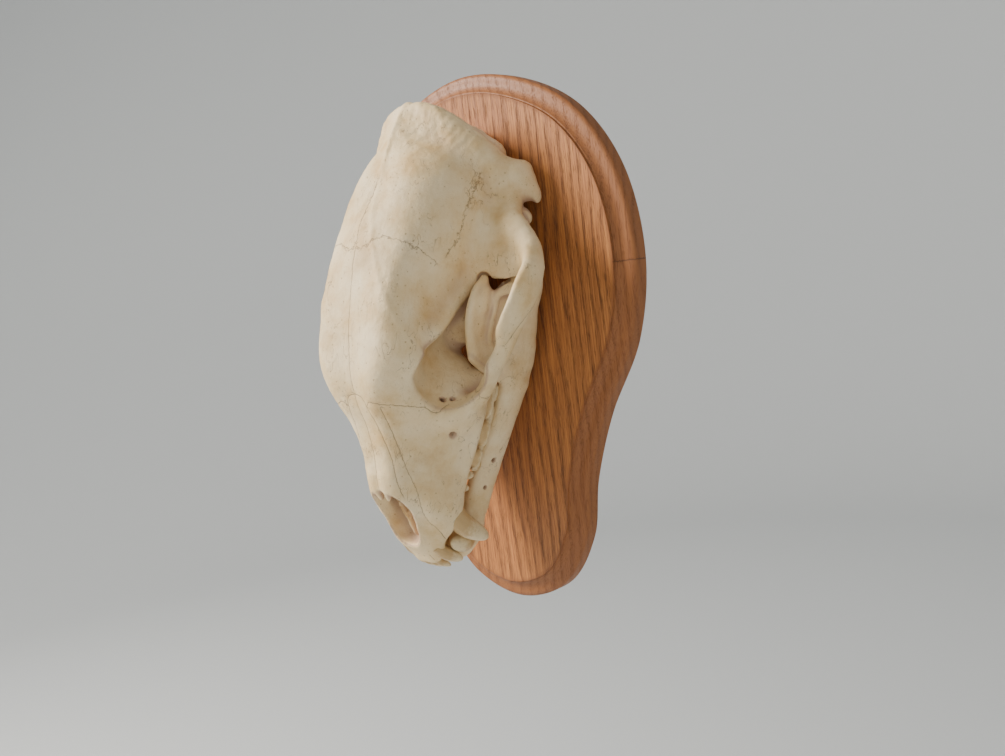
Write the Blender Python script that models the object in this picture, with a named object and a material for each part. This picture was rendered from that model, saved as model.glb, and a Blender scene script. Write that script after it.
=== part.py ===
"""Black bear skull, mounted nose down on a pear-shaped oak wall plaque.

World frame: metres, +Z up, the wall is the plane Y = 0, the room lies towards -Y and the
plaque's middle is the origin. The animal's left side is +X.

The skull is modelled in its own frame, in millimetres: x is to the animal's left, s runs
backwards from the incisors and h upwards from the tooth row to the crown. An empty holds
that frame in the room and carries every bone.
"""

import math
from collections import namedtuple

import bmesh
import bpy
import numpy as np
from mathutils import Matrix, Vector

MM = 0.001
GAP = 0.3                      # clearance between pieces that touch

# Driving sizes of the mount
TILT = 16.0                    # degrees between the tooth row and the plaque's face
SNOUT = (0.0, -80.4, -127.0)   # where s = 0, h = 0 stands in the room
PLAQUE_HALF_OUTLINE = ((0, 177), (48, 167.5), (91, 143), (119, 102), (128, 50), (118, 0),
                       (92, -45), (75, -88), (66.5, -127), (42, -161), (0, -174.5))
PLAQUE_EDGE = ((0.0, 0.0), (9.0, 0.0), (10.6, 1.2), (11.6, 4.6), (12.8, 8.6), (14.6, 11.4),
               (16.0, 12.6))   # (depth from the wall, inset from the outline)

# Half sections of the cranium: height of the crown on the midline, the shoulder of the roof,
# the temporal edge, the widest (or below the brow the narrowest) point of the side, the
# lower corner, height of the floor
Section = namedtuple("Section", "s crown roof_x roof_h edge_x edge_h side_x side_h base_x base_h floor")
CRANIUM = (
    Section(-2, 8, 4, 8, 7, 7.5, 9, 6.5, 8, 5, 5),
    Section(4, 15, 6, 15, 11, 13, 15, 9, 14, 5.5, 5.5),
    Section(12, 27, 7, 27, 13, 23, 20, 14, 16, 8, 7),
    Section(22, 37, 8, 36, 15, 30, 25.5, 17, 23.5, 8, 9),
    Section(34, 47, 10, 46, 19, 37, 28.5, 20, 27, 8, 11),
    Section(48, 53, 11, 52, 20, 42, 28.5, 22, 27, 8, 12),
    Section(62, 57, 12, 55.5, 21.5, 45.5, 29, 24, 29, 9, 13),
    Section(78, 64, 14, 63, 25, 53.5, 33, 30, 34, 9, 13),
    Section(90, 72, 17, 72, 31, 60.5, 39, 36, 40, 9, 13),
    Section(102, 78, 22, 79.5, 35, 66, 36, 42, 42, 9.5, 13),
    Section(112, 81, 26, 82.5, 39, 66, 25, 43, 40, 11, 14),
    Section(122, 83, 29, 83.5, 42, 65, 22, 42, 33, 14, 15),
    Section(134, 84.5, 30, 84, 41, 64, 24, 42, 20, 14, 17),
    Section(148, 85.5, 31, 84, 38, 62, 29, 42, 20, 18, 20),
    Section(162, 86, 31, 83, 38, 62, 37, 42, 25, 20, 20),
    Section(180, 86, 30, 81, 41, 66, 45, 42, 30, 17, 16),
    Section(200, 83, 27, 78, 42, 64, 48, 41, 38, 13, 11),
    Section(220, 76, 25, 74, 42, 59, 50, 34, 44, 10, 8),
    Section(240, 70, 21, 68, 39, 54, 51, 26, 46, 8, 7),
    Section(256, 67, 17, 60, 32, 46, 47, 22, 36, 10, 10),
    Section(268, 63, 13, 54, 24, 40, 34, 25, 22, 15, 15),
    Section(276, 57, 8, 50, 14, 42, 18, 33, 11, 24, 24),
)

# Stations of a bar: its middle (x, s, h), half its height and half its thickness
Bar = namedtuple("Bar", "x s h half_height half_thick")
ZYGOMATIC_ARCH = (
    Bar(36, 90, 27, 14, 7), Bar(45, 97, 26, 12, 5.5), Bar(54, 106, 24.5, 9, 4),
    Bar(62, 118, 24, 7, 3.6), Bar(70, 130, 24.5, 6.5, 3.4), Bar(77, 140, 28.5, 9, 3.6),
    Bar(83, 150, 29.5, 10, 3.8), Bar(87, 160, 28, 10.5, 3.8), Bar(88.5, 170, 26, 9.5, 3.8),
    Bar(88, 180, 23.5, 7.5, 4), Bar(83, 190, 21, 5.5, 5), Bar(75, 198, 20.5, 5.5, 6),
    Bar(62, 204, 22, 6, 7),
)
NUCHAL_CREST = (Bar(0, 277, 54, 4.5, 4), Bar(10, 277, 54, 5, 4), Bar(22, 273, 50, 5.5, 4),
                Bar(32, 266, 43, 5, 4), Bar(43, 256, 34, 5, 3.8), Bar(52, 246, 24, 4.5, 3.5),
                Bar(58, 241, 14, 4, 3.5), Bar(60, 237, 9, 4, 4))
SAGITTAL_CREST = (Bar(0, 196, 78, 5, 3), Bar(0, 221, 69, 4.5, 2.2), Bar(0, 248, 64.5, 4.5, 2),
                  Bar(0, 262, 61.5, 4.5, 2), Bar(0, 279, 54, 4, 2.4))
POSTORBITAL_PROCESS = (Bar(32, 117, 68, 7, 8), Bar(39, 118.5, 62, 5, 6), Bar(45, 120, 57.5, 2.2, 2.6))
PTERYGOID = (Bar(17, 126, 17, 7, 3), Bar(15, 140, 13, 6, 2.4), Bar(14, 156, 10, 7, 2.4),
             Bar(14, 166, 11, 4, 2))
NASAL_APERTURE = (Bar(0, -6, 24, 12, 9), Bar(0, 4, 28, 16, 11), Bar(0, 12, 32, 17, 15),
                  Bar(0, 20, 36, 20, 17), Bar(0, 28, 40, 23, 16.5), Bar(0, 34, 44, 24.5, 14.5),
                  Bar(0, 38, 48, 26, 12))
NASAL_CAVITY = (Bar(0, 22, 28, 14, 12), Bar(0, 36, 29.5, 13, 11), Bar(0, 52, 29, 9, 8),
                Bar(0, 66, 30, 4, 4))
SUPRAMASTOID_CREST = (Bar(68, 203, 21, 5, 6), Bar(61, 213, 18, 6, 6.5), Bar(57.5, 224, 16, 7, 7),
                      Bar(59, 236, 13, 6.5, 6))

# The shelf that joins arch and braincase and roofs the jaw joint, by stations across x
Shelf = namedtuple("Shelf", "x s h half_length half_height")
GLENOID_SHELF = (Shelf(34, 197, 31, 25, 12), Shelf(50, 195, 26, 22, 8.5),
                 Shelf(62, 193, 21.5, 20, 6), Shelf(74, 190, 20, 15, 5), Shelf(84, 184, 22.5, 8, 5))

# Rounded lumps and hollows: middle (x, s, h) and radii (x, s, h)
CONDYLE = ((19, 264, 19), (9, 10, 9.5))
MASTOID = ((62, 232, 9.5), (8.5, 11, 8.5))
MEATUS_LIP = ((57, 215, 6), (8, 5, 7))
PAROCCIPITAL = ((40, 254, 16), (7, 7, 8.5))
BULLA = ((31, 222, 9), (15, 17, 7))
POSTGLENOID = ((57, 198, 12), (13, 4, 8))
CANINE_ROOT = ((24, 42, 20), (6.5, 16, 12))
ORBIT = ((49, 112, 44), (20, 22, 19))
FORAMEN_MAGNUM = ((0, 276, 25), (11, 18, 8.5))

# Half jaw: middle x, top and bottom height, half thickness at the top and at the bottom
Jaw = namedtuple("Jaw", "s x top bottom upper_half lower_half")
JAW = (
    Jaw(2, 7, -8, -16, 6, 5), Jaw(6, 8, -6, -20, 8, 7), Jaw(14, 10, -5.5, -23, 9.5, 8.5),
    Jaw(26, 12, -6, -25, 9, 8), Jaw(40, 16, -6, -26, 7, 7), Jaw(60, 23, -6, -25.5, 5.5, 6),
    Jaw(80, 30, -6, -25, 5.5, 6), Jaw(98, 36, -6, -25.5, 5.5, 6), Jaw(108, 39.5, -5, -26, 5.5, 6),
    Jaw(114, 42, 4, -26, 5, 5.5), Jaw(119, 44, 16, -25.5, 4.2, 5.5), Jaw(123, 46, 28, -25, 3.6, 5),
    Jaw(129, 48, 35, -24, 3.2, 6.5), Jaw(138, 50, 38.5, -22, 2.8, 7.5),
    Jaw(150, 52, 39, -18, 2.4, 10.5), Jaw(159, 53.5, 36.5, -15, 2.2, 12),
    Jaw(166, 55, 32, -13.5, 2.2, 14), Jaw(171, 56.5, 26, -12, 2.4, 14.5),
    Jaw(175, 58, 12.5, -11, 3, 13), Jaw(184, 59, 8.5, -9, 4, 10), Jaw(190, 60, 3, -5.5, 4, 4),
)
JAW_FULLNESS = 0.7             # 1 is an ellipse, less is fuller in the corners
JAW_CONDYLE = (Bar(46, 187, 5, 5, 5), Bar(60, 184.5, 3.5, 6, 6), Bar(71, 182.5, 3, 4.5, 5))
SYMPHYSIS_HALF_GAP = 0.2
OTHER_HALF = (40, 240, 120)    # a block that takes away what lies past the symphysis

# Teeth. A peg tooth runs from its root to its tip; a cheek tooth is a low block. Each is
# drawn in and out by the shares in PEG_SWELL and BLOCK_LEVELS (share of height, share of width).
PEG_SWELL = (0.85, 0.95, 1.0, 1.0, 0.86, 0.62, 0.28)
BLOCK_LEVELS = ((0.0, 0.8), (0.5, 0.9), (0.8, 1.0), (1.0, 0.74))
Peg = namedtuple("Peg", "root neck tip half_length half_width")
Block = namedtuple("Block", "x s root_h crown_h half_length half_width turn")
UPPER_PEGS = (
    Peg((3.2, 3, 12), (3.2, 0, 5), (3.0, -1.0, -1.0), 2.6, 2.4),
    Peg((8.6, 4, 12), (8.6, 1, 5), (8.4, 0.0, -1.2), 2.8, 2.4),
    Peg((14.0, 7, 12), (14.0, 4.0, 5.5), (14.0, 2.6, -1.8), 3.2, 2.8),
    Peg((24.5, 40, 18), (26.5, 25.5, 5), (27.5, 16.5, -18.5), 7.2, 5.2),
    Peg((27.0, 50, 12), (27.0, 50, 8), (27.0, 49.5, 3.2), 2.6, 2.2),
)
UPPER_BLOCKS = (
    Block(31.5, 66, 14, 2.0, 6.0, 4.4, 18), Block(35.0, 81.5, 14, 1.8, 8.2, 6.2, 14),
    Block(37.0, 103.5, 15, 2.0, 12.8, 6.6, 2),
)
LOWER_PEGS = (
    Peg((2.6, 10, -13), (2.8, 6, -7), (2.8, 4.6, -1.8), 2.2, 1.8),
    Peg((6.8, 10, -13), (7.4, 6, -7), (7.6, 4.8, -1.8), 2.4, 2.0),
    Peg((11.0, 11, -13), (11.6, 7, -7), (11.8, 6.0, -2.2), 2.5, 2.2),
    Peg((13.5, 24, -16), (18.0, 13, -7), (19.6, 10.0, 5.5), 6.2, 4.6),
)
LOWER_BLOCKS = (
    Block(24.5, 62, -12, -0.2, 4.6, 2.8, 18), Block(27.4, 75.5, -12, 0.2, 8.4, 3.8, 16),
    Block(31.4, 92.5, -12, 0.2, 9.0, 5.0, 12), Block(35.0, 107.5, -10, -0.4, 6.4, 4.4, 12),
)

# The two ends of each zygomatic bone: name, middle, two directions in the suture, its size
ZYGOMATIC_SUTURES = (("maxillary_suture", (56, 109, 24.5), (0, 0, 1), (0.8, -0.6, 0), (36, 18)),
                     ("squamosal_suture", (79.5, 145.5, 25), (11, 25, -15), (0.86, -0.51, 0), (52, 22)))

# Finish of each material: colour and roughness
BONE = ((0.74, 0.66, 0.54), 0.55)
OAK = ((0.27, 0.12, 0.05), 0.38)
SHARP_ANGLE = 50.0             # degrees

# Mesh fineness
BONE_VOXEL = 1.9
BONE_SOFTENING = 5
CRANIUM_TRIANGLES = 5200
JAW_TRIANGLES = 1400
OUTLINE_POINTS = 96
SECTION_POINTS = 36
RINGS_PER_SPAN = 3


def smooth_path(points, per_span, closed=False):
    """Points on a Catmull-Rom curve through the given points, of any dimension."""
    knots = np.array(points, float)
    if closed:
        padded = np.vstack((knots[-1:], knots, knots[:2]))
    else:
        padded = np.vstack((2 * knots[0] - knots[1], knots, 2 * knots[-1] - knots[-2]))
    spans = []
    for a, b, c, d in zip(padded, padded[1:], padded[2:], padded[3:]):
        for t in np.arange(per_span) / per_span:
            spans.append(0.5 * (2 * b + (c - a) * t + (2 * a - 5 * b + 4 * c - d) * t ** 2
                                + (3 * b - a - 3 * c + d) * t ** 3))
    if not closed:
        spans.append(knots[-1])
    return np.array(spans)


def even_loop(points, count):
    """A closed loop of points spread evenly along the given closed polyline."""
    ring = np.vstack((points, points[:1]))
    along = np.concatenate(([0], np.cumsum(np.linalg.norm(np.diff(ring, axis=0), axis=1))))
    stops = np.arange(count) / count * along[-1]
    return np.stack([np.interp(stops, along, axis) for axis in ring.T], axis=1)


def new_object(name, bm):
    """Link a bmesh as an object, with its faces turned outwards."""
    bmesh.ops.recalc_face_normals(bm, faces=bm.faces)
    mesh = bpy.data.meshes.new(name)
    bm.to_mesh(mesh)
    bm.free()
    thing = bpy.data.objects.new(name, mesh)
    bpy.context.scene.collection.objects.link(thing)
    return thing


def loft(name, rings):
    """A closed body through rings of equal point counts, given in millimetres."""
    bm = bmesh.new()
    loops = [[bm.verts.new(Vector(p) * MM) for p in ring] for ring in rings]
    for near, far in zip(loops, loops[1:]):
        for i, corner in enumerate(near):
            bm.faces.new((near[i - 1], corner, far[i], far[i - 1]))
    bm.faces.new(loops[0])
    bm.faces.new(loops[-1])
    return new_object(name, bm)


def bar(name, stations, sides=14, per_span=3):
    """A bar with an upright oval section, swept through its stations."""
    path = smooth_path(stations, per_span)
    heading = np.gradient(path[:, :2], axis=0)
    heading /= np.linalg.norm(heading, axis=1)[:, None]
    rings = []
    for (x, s, h, high, thick), (along_x, along_s) in zip(path, heading):
        turns = np.arange(sides) / sides * 2 * math.pi
        across = thick * np.cos(turns)
        rings.append([(x + a * along_s, s - a * along_x, h + high * math.sin(t))
                      for a, t in zip(across, turns)])
    return loft(name, rings)


def lump(name, middle, radii):
    """An ellipsoid."""
    bm = bmesh.new()
    bmesh.ops.create_uvsphere(bm, u_segments=20, v_segments=12, radius=1.0)
    bmesh.ops.scale(bm, vec=Vector(radii) * MM, verts=bm.verts)
    bmesh.ops.translate(bm, vec=Vector(middle) * MM, verts=bm.verts)
    return new_object(name, bm)


def mirrored(thing):
    """A copy of an object on the animal's other side."""
    bm = bmesh.new()
    bm.from_mesh(thing.data)
    bmesh.ops.transform(bm, matrix=Matrix.Scale(-1, 4, Vector((1, 0, 0))), verts=bm.verts)
    bmesh.ops.reverse_faces(bm, faces=bm.faces)
    return new_object(thing.name + "_mirrored", bm)


def both_sides(things):
    """The given objects and their mirror images."""
    return list(things) + [mirrored(thing) for thing in things]


def apply_modifiers(thing):
    """Replace an object's mesh by the one its modifiers make."""
    bpy.context.view_layer.update()
    graph = bpy.context.evaluated_depsgraph_get()
    mesh = bpy.data.meshes.new_from_object(thing.evaluated_get(graph))
    thing.modifiers.clear()
    thing.data = mesh


def combine(target, things, operation, solver="EXACT"):
    """Join to the target, or cut from it, a collection of closed pieces in one Boolean."""
    pieces = bpy.data.collections.new(target.name + "_" + operation.lower())
    bpy.context.scene.collection.children.link(pieces)
    for thing in things:
        bpy.context.scene.collection.objects.unlink(thing)
        pieces.objects.link(thing)
    boolean = target.modifiers.new("combine", "BOOLEAN")
    boolean.operand_type = "COLLECTION"
    boolean.collection = pieces
    boolean.operation = operation
    boolean.solver = solver
    apply_modifiers(target)
    for thing in list(pieces.objects):
        bpy.data.objects.remove(thing)
    bpy.data.collections.remove(pieces)


def closed_surfaces(bm):
    """The separate surfaces of a mesh, largest first, as lists of faces."""
    left, surfaces = set(bm.faces), []
    while left:
        front = [left.pop()]
        surface = list(front)
        while front:
            for edge in front.pop().edges:
                for face in edge.link_faces:
                    if face in left:
                        left.remove(face)
                        front.append(face)
                        surface.append(face)
        surfaces.append(surface)
    return sorted(surfaces, key=lambda faces: -sum(face.calc_area() for face in faces))


def keep_surface(thing, rank=0):
    """Keep one of an object's separate surfaces, by default the largest."""
    bm = bmesh.new()
    bm.from_mesh(thing.data)
    surfaces = closed_surfaces(bm)
    spare = [face for i, faces in enumerate(surfaces) if i != rank for face in faces]
    bmesh.ops.delete(bm, geom=spare, context="FACES")
    bm.to_mesh(thing.data)
    bm.free()


def grow_together(thing, triangles):
    """Blend the joints of joined bone and bring it down to a number of triangles."""
    remesh = thing.modifiers.new("remesh", "REMESH")
    remesh.mode = "VOXEL"
    remesh.voxel_size = BONE_VOXEL * MM
    soften = thing.modifiers.new("soften", "SMOOTH")
    soften.factor = 0.5
    soften.iterations = BONE_SOFTENING
    apply_modifiers(thing)
    keep_surface(thing)
    bm = bmesh.new()
    bm.from_mesh(thing.data)
    bmesh.ops.triangulate(bm, faces=bm.faces)
    count = len(bm.faces)
    bm.to_mesh(thing.data)
    bm.free()
    thin = thing.modifiers.new("thin", "DECIMATE")
    thin.ratio = triangles / count
    apply_modifiers(thing)
    keep_surface(thing)


def peg_tooth(name, tooth, sides=8):
    """An incisor or canine: a curved cone from its buried root to a blunt tip."""
    axis = smooth_path((tooth.root, tooth.neck, tooth.tip), 3)
    run = (np.array(tooth.tip) - np.array(tooth.neck)).astype(float)
    run /= np.linalg.norm(run)
    side = np.cross(run, (1.0, 0.0, 0.0))
    side /= np.linalg.norm(side)
    rings = []
    for point, size in zip(axis, PEG_SWELL):
        turns = np.arange(sides) / sides * 2 * math.pi
        rings.append([point + size * (tooth.half_length * math.cos(t) * side
                                      + tooth.half_width * math.sin(t) * np.cross(run, side))
                      for t in turns])
    return loft(name, rings)


def block_tooth(name, tooth, sides=10):
    """A cheek tooth: an oval block with a waist at the gum and a narrower worn table."""
    up = tooth.crown_h > tooth.root_h
    turn = math.radians(tooth.turn)
    along = np.array((math.sin(turn), math.cos(turn), 0.0))
    across = np.array((math.cos(turn), -math.sin(turn), 0.0))
    rings = []
    for level, size in BLOCK_LEVELS:
        h = tooth.root_h + level * (tooth.crown_h - tooth.root_h)
        rings.append([np.array((tooth.x, tooth.s, h))
                      + size * (tooth.half_length * math.cos(t) * along
                                + tooth.half_width * math.sin(t) * across)
                      for t in np.arange(sides) / sides * 2 * math.pi])
    return loft(name, rings if up else rings[::-1])


def teeth(name, pegs, blocks):
    """One side's teeth of a jaw."""
    made = [peg_tooth(f"{name}_peg_{i}", tooth) for i, tooth in enumerate(pegs)]
    return made + [block_tooth(f"{name}_block_{i}", tooth) for i, tooth in enumerate(blocks)]


def cranium_core():
    """The braincase, face and snout, lofted through the cranium's sections."""
    rings = []
    for row in smooth_path(CRANIUM, RINGS_PER_SPAN):
        part = Section(*row)
        half = ((part.roof_x, part.roof_h), (part.edge_x, part.edge_h),
                (part.side_x, part.side_h), (part.base_x, part.base_h))
        other_half = [(-x, h) for x, h in reversed(half)]
        corners = [(0, part.crown), *half, (0, part.floor), *other_half]
        loop = smooth_path(corners, 6, closed=True)
        rings.append([(x, part.s, h) for x, h in even_loop(loop, SECTION_POINTS)])
    return loft("cranium", rings)


def glenoid_shelf():
    """The flat root of the arch over the jaw joint, lofted outwards across x."""
    rings = []
    for x, s, h, half_length, half_height in smooth_path(GLENOID_SHELF, 3):
        rings.append([(x, s + half_length * math.cos(t), h + half_height * math.sin(t))
                      for t in np.arange(18) / 18 * 2 * math.pi])
    return loft("glenoid_shelf", rings)


def suture_cut(name, middle, along, across, size):
    """A thin slab, flat along two directions, that parts the bone at a suture."""
    along, across = Vector(along).normalized(), Vector(across).normalized()
    axes = Matrix((along, along.cross(across), across)).transposed()
    bm = bmesh.new()
    bmesh.ops.create_cube(bm, size=1.0)
    bmesh.ops.scale(bm, vec=Vector((size[0], GAP, size[1])) * MM, verts=bm.verts)
    bmesh.ops.rotate(bm, matrix=axes, verts=bm.verts)
    bmesh.ops.translate(bm, vec=Vector(middle) * MM, verts=bm.verts)
    return new_object(name, bm)


def cranium():
    """The cranium with its teeth, and the two zygomatic bones parted from it."""
    bone = cranium_core()
    sides = [bar("arch", ZYGOMATIC_ARCH), bar("nuchal_crest", NUCHAL_CREST),
             bar("postorbital_process", POSTORBITAL_PROCESS), bar("pterygoid", PTERYGOID),
             bar("supramastoid_crest", SUPRAMASTOID_CREST),
             glenoid_shelf(), lump("condyle", *CONDYLE), lump("mastoid", *MASTOID),
             lump("meatus_lip", *MEATUS_LIP), lump("paroccipital", *PAROCCIPITAL), lump("bulla", *BULLA),
             lump("postglenoid", *POSTGLENOID), lump("canine_root", *CANINE_ROOT)]
    combine(bone, both_sides(sides) + [bar("sagittal_crest", SAGITTAL_CREST)], "UNION")
    combine(bone, both_sides([lump("orbit", *ORBIT)])
            + [bar("nasal_aperture", NASAL_APERTURE), bar("nasal_cavity", NASAL_CAVITY),
               lump("foramen_magnum", *FORAMEN_MAGNUM)],
            "DIFFERENCE")
    grow_together(bone, CRANIUM_TRIANGLES)
    combine(bone, both_sides(teeth("upper", UPPER_PEGS, UPPER_BLOCKS)), "UNION")
    keep_surface(bone)
    sutures = [suture_cut(*suture) for suture in ZYGOMATIC_SUTURES]
    combine(bone, both_sides(sutures), "DIFFERENCE")
    arches = []
    for name in ("zygomatic_bone_left", "zygomatic_bone_right"):
        arch = bone.copy()
        arch.data = bone.data.copy()
        arch.name = name
        bpy.context.scene.collection.objects.link(arch)
        arches.append(arch)
    for rank, arch in enumerate(arches, start=1):
        keep_surface(arch, rank)
    if sum(v.co.x for v in arches[0].data.vertices) < 0:
        arches[0].data, arches[1].data = arches[1].data, arches[0].data
    keep_surface(bone)
    return [bone] + arches


def half_jaw():
    """The left half of the lower jaw with its teeth."""
    rings = []
    for row in smooth_path(JAW, RINGS_PER_SPAN):
        part = Jaw(*row)
        middle = (part.top + part.bottom) / 2
        half = (part.top - part.bottom) / 2
        ring = []
        for t in np.arange(20) / 20 * 2 * math.pi:
            rise = math.sin(t)
            thick = part.lower_half + (part.upper_half - part.lower_half) * (rise + 1) / 2
            bulge = math.copysign(abs(math.cos(t)) ** JAW_FULLNESS, math.cos(t))
            ring.append((part.x + thick * bulge, part.s, middle + half * rise))
        rings.append(ring)
    jaw = loft("mandible_left", rings)
    combine(jaw, [bar("jaw_condyle", JAW_CONDYLE)], "UNION")
    grow_together(jaw, JAW_TRIANGLES)
    combine(jaw, teeth("lower", LOWER_PEGS, LOWER_BLOCKS), "UNION")
    bm = bmesh.new()
    bmesh.ops.create_cube(bm, size=1.0)
    bmesh.ops.scale(bm, vec=Vector(OTHER_HALF) * MM, verts=bm.verts)
    past = SYMPHYSIS_HALF_GAP - OTHER_HALF[0] / 2
    bmesh.ops.translate(bm, vec=Vector((past, OTHER_HALF[1] / 2 - BONE_VOXEL, 0)) * MM, verts=bm.verts)
    combine(jaw, [new_object("other_half", bm)], "DIFFERENCE")
    keep_surface(jaw)
    return jaw


def plaque():
    """The oak board: its outline drawn in by the moulded edge, and flat on both faces."""
    right = PLAQUE_HALF_OUTLINE
    left = [(-x, z) for x, z in right[-2:0:-1]]
    outline = even_loop(smooth_path(list(right) + left, 12, closed=True), OUTLINE_POINTS)
    run = np.roll(outline, -1, axis=0) - np.roll(outline, 1, axis=0)
    run /= np.linalg.norm(run, axis=1)[:, None]
    outward = np.stack((-run[:, 1], run[:, 0]), axis=1)
    outward *= np.sign((outward * outline).sum())
    rings = [[(x, -depth, z) for x, z in outline - outward * inset] for depth, inset in PLAQUE_EDGE]
    return loft("plaque", rings)


def finish(thing, name, colour, roughness):
    """Give an object its own Principled material and smooth shading."""
    material = bpy.data.materials.new(name)
    material.use_nodes = True
    shader = material.node_tree.nodes["Principled BSDF"]
    shader.inputs["Base Color"].default_value = (*colour, 1.0)
    shader.inputs["Roughness"].default_value = roughness
    shader.inputs["Metallic"].default_value = 0.0
    thing.data.materials.clear()
    thing.data.materials.append(material)
    thing.data.shade_smooth()
    thing.data.set_sharp_from_angle(angle=math.radians(SHARP_ANGLE))


def build():
    """Make every piece and stand the skull on its plaque."""
    for old in list(bpy.data.objects):
        bpy.data.objects.remove(old)
    pose = bpy.data.objects.new("skull_pose", None)
    bpy.context.scene.collection.objects.link(pose)
    pose.location = Vector(SNOUT) * MM
    pose.rotation_euler = (math.radians(90 - TILT), 0, 0)
    jaw = half_jaw()
    other = mirrored(jaw)
    other.name = "mandible_right"
    bones = cranium() + [jaw, other]
    for bone in bones:
        bone.parent = pose
        finish(bone, bone.name + "_bone", *BONE)
    finish(plaque(), "plaque_oak", *OAK)


build()
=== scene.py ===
"""The finish of a mounted black bear skull on its oak wall plaque.

Every bone is worked out as the surface where a function of space is zero: lofted outlines,
ovals swept along curves and rounded lumps are blended together and hollowed out, and the
surface is then drawn over them. Teeth and plaque are surfaces of two parameters.

Skull sizes are millimetres in the skull's own frame: x to the animal's left, s backwards
from the incisors, h upwards from the tooth row to the crown of the head.
"""

from __future__ import annotations

import logging
import math
from dataclasses import dataclass
from enum import Enum
from typing import Any, Callable, NamedTuple, Sequence

import bpy
import numpy as np
from mathutils import Matrix, Vector


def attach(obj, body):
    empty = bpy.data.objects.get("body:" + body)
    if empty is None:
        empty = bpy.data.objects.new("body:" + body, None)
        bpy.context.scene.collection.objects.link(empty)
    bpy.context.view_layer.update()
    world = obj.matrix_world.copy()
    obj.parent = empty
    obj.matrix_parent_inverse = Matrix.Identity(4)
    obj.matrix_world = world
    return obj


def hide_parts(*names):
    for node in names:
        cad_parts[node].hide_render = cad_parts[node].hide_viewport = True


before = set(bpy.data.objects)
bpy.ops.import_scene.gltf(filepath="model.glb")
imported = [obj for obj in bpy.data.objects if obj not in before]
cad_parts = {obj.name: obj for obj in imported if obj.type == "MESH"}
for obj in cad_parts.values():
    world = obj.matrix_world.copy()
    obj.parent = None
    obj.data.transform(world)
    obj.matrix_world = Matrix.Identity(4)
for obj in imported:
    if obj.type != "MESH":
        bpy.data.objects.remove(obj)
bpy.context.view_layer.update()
LOG = logging.getLogger("bear_skull")

MM = 0.001
TINY = 1e-6
NIL = 1e-9
LATTICE = 64
LATTICE_SHIFT = 500
SEAM_REACH = 4.0
SEAM_DEPTH = 7.0
Array = np.ndarray
Point = tuple[float, float, float]
Stations = tuple[tuple[float, ...], ...]


def smooth_path(points: Any, per_span: int, closed: bool = False) -> Array:
    """Points on the Catmull-Rom curve through the given points.

    Between two points b and c with neighbours a and d the curve is the cubic
    half of (2b + (c - a)t + (2a - 5b + 4c - d)t^2 + (3b - a - 3c + d)t^3).

    Args:
        points: Rows of numbers of any dimension.
        per_span: Points made between each two given ones.
        closed: Whether the last point runs on to the first.

    Returns:
        The curve's points, one per row.
    """
    knots = np.array(points, float)
    if closed:
        padded = np.vstack((knots[-1:], knots, knots[:2]))
    else:
        padded = np.vstack((2 * knots[0] - knots[1], knots, 2 * knots[-1] - knots[-2]))
    a, b, c, d = padded[:-3, None], padded[1:-2, None], padded[2:-1, None], padded[3:, None]
    t = (np.arange(per_span) / per_span)[None, :, None]
    curve = 0.5 * (2 * b + (c - a) * t + (2 * a - 5 * b + 4 * c - d) * t ** 2
                   + (3 * b - a - 3 * c + d) * t ** 3)
    curve = curve.reshape(-1, knots.shape[1])
    return curve if closed else np.vstack((curve, knots[-1:]))


def smooth_step(value: Array, start: float, end: float) -> Array:
    """Zero up to start, one from end, and 3t^2 - 2t^3 between."""
    t = np.clip((value - start) / (end - start), 0, 1)
    return t * t * (3 - 2 * t)


def soft_min(a: Array, b: Array, blend: float) -> Array:
    """The smaller value, rounded where both are close: min(a, b) - max(k - |a - b|, 0)^2 / 4k."""
    return np.minimum(a, b) - np.maximum(blend - np.abs(a - b), 0) ** 2 / (4 * blend)


def signed_power(value: Array, power: float) -> Array:
    """A power of the value's size, with the value's sign."""
    return np.sign(value) * np.abs(value) ** power


def full_turn(count: int) -> Array:
    """Angles evenly round a circle, in radians from zero."""
    return np.arange(count) / count * 2 * math.pi


def unit_rows(vectors: Array) -> Array:
    """Rows scaled to length one."""
    return vectors / np.linalg.norm(vectors, axis=1)[:, None]


def corner_average(values: Array, cell: Array, share: Array) -> Array:
    """The weighted average of the eight samples at the corners of each point's cell.

    Args:
        values: Samples on a grid in space.
        cell: The number of each cell's lowest corner along each axis.
        share: The far corner's weight along each axis; the near one has the rest of one.

    Returns:
        One number per point.
    """
    total = np.zeros(len(cell))
    for corner in np.ndindex(2, 2, 2):
        weight = np.prod(np.where(corner, share, 1 - share), axis=1)
        total += weight * values[tuple((cell + corner).T)]
    return total


def value_noise(points: Array, size: float, seed: int) -> Array:
    """Smooth random values between -1 and 1 that vary over a distance of size.

    Each corner of a cubic lattice holds a random number, and a point takes the average of
    its cell's eight corners, weighted by 3t^2 - 2t^3 along each axis.
    """
    lattice = np.random.default_rng(seed).uniform(-1, 1, (LATTICE, LATTICE, LATTICE))
    scaled = points / size + LATTICE_SHIFT
    cell = np.floor(scaled).astype(int)
    return corner_average(np.pad(lattice, (0, 1), "wrap"), cell % LATTICE,
                          smooth_step(scaled - cell, 0, 1))


class Wave(NamedTuple):
    """Unevenness of bone: its size, seed and height, and the height that the back adds."""

    size: float
    seed: int
    height: float
    back_height: float = 0.0


def unevenness(points: Array, waves: Sequence[Wave], back: Any = 0.0) -> Array:
    """How far waves lift each point, where back is one at the back and zero elsewhere."""
    return sum((wave.height + wave.back_height * back)
               * value_noise(points, wave.size, wave.seed) for wave in waves)


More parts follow.
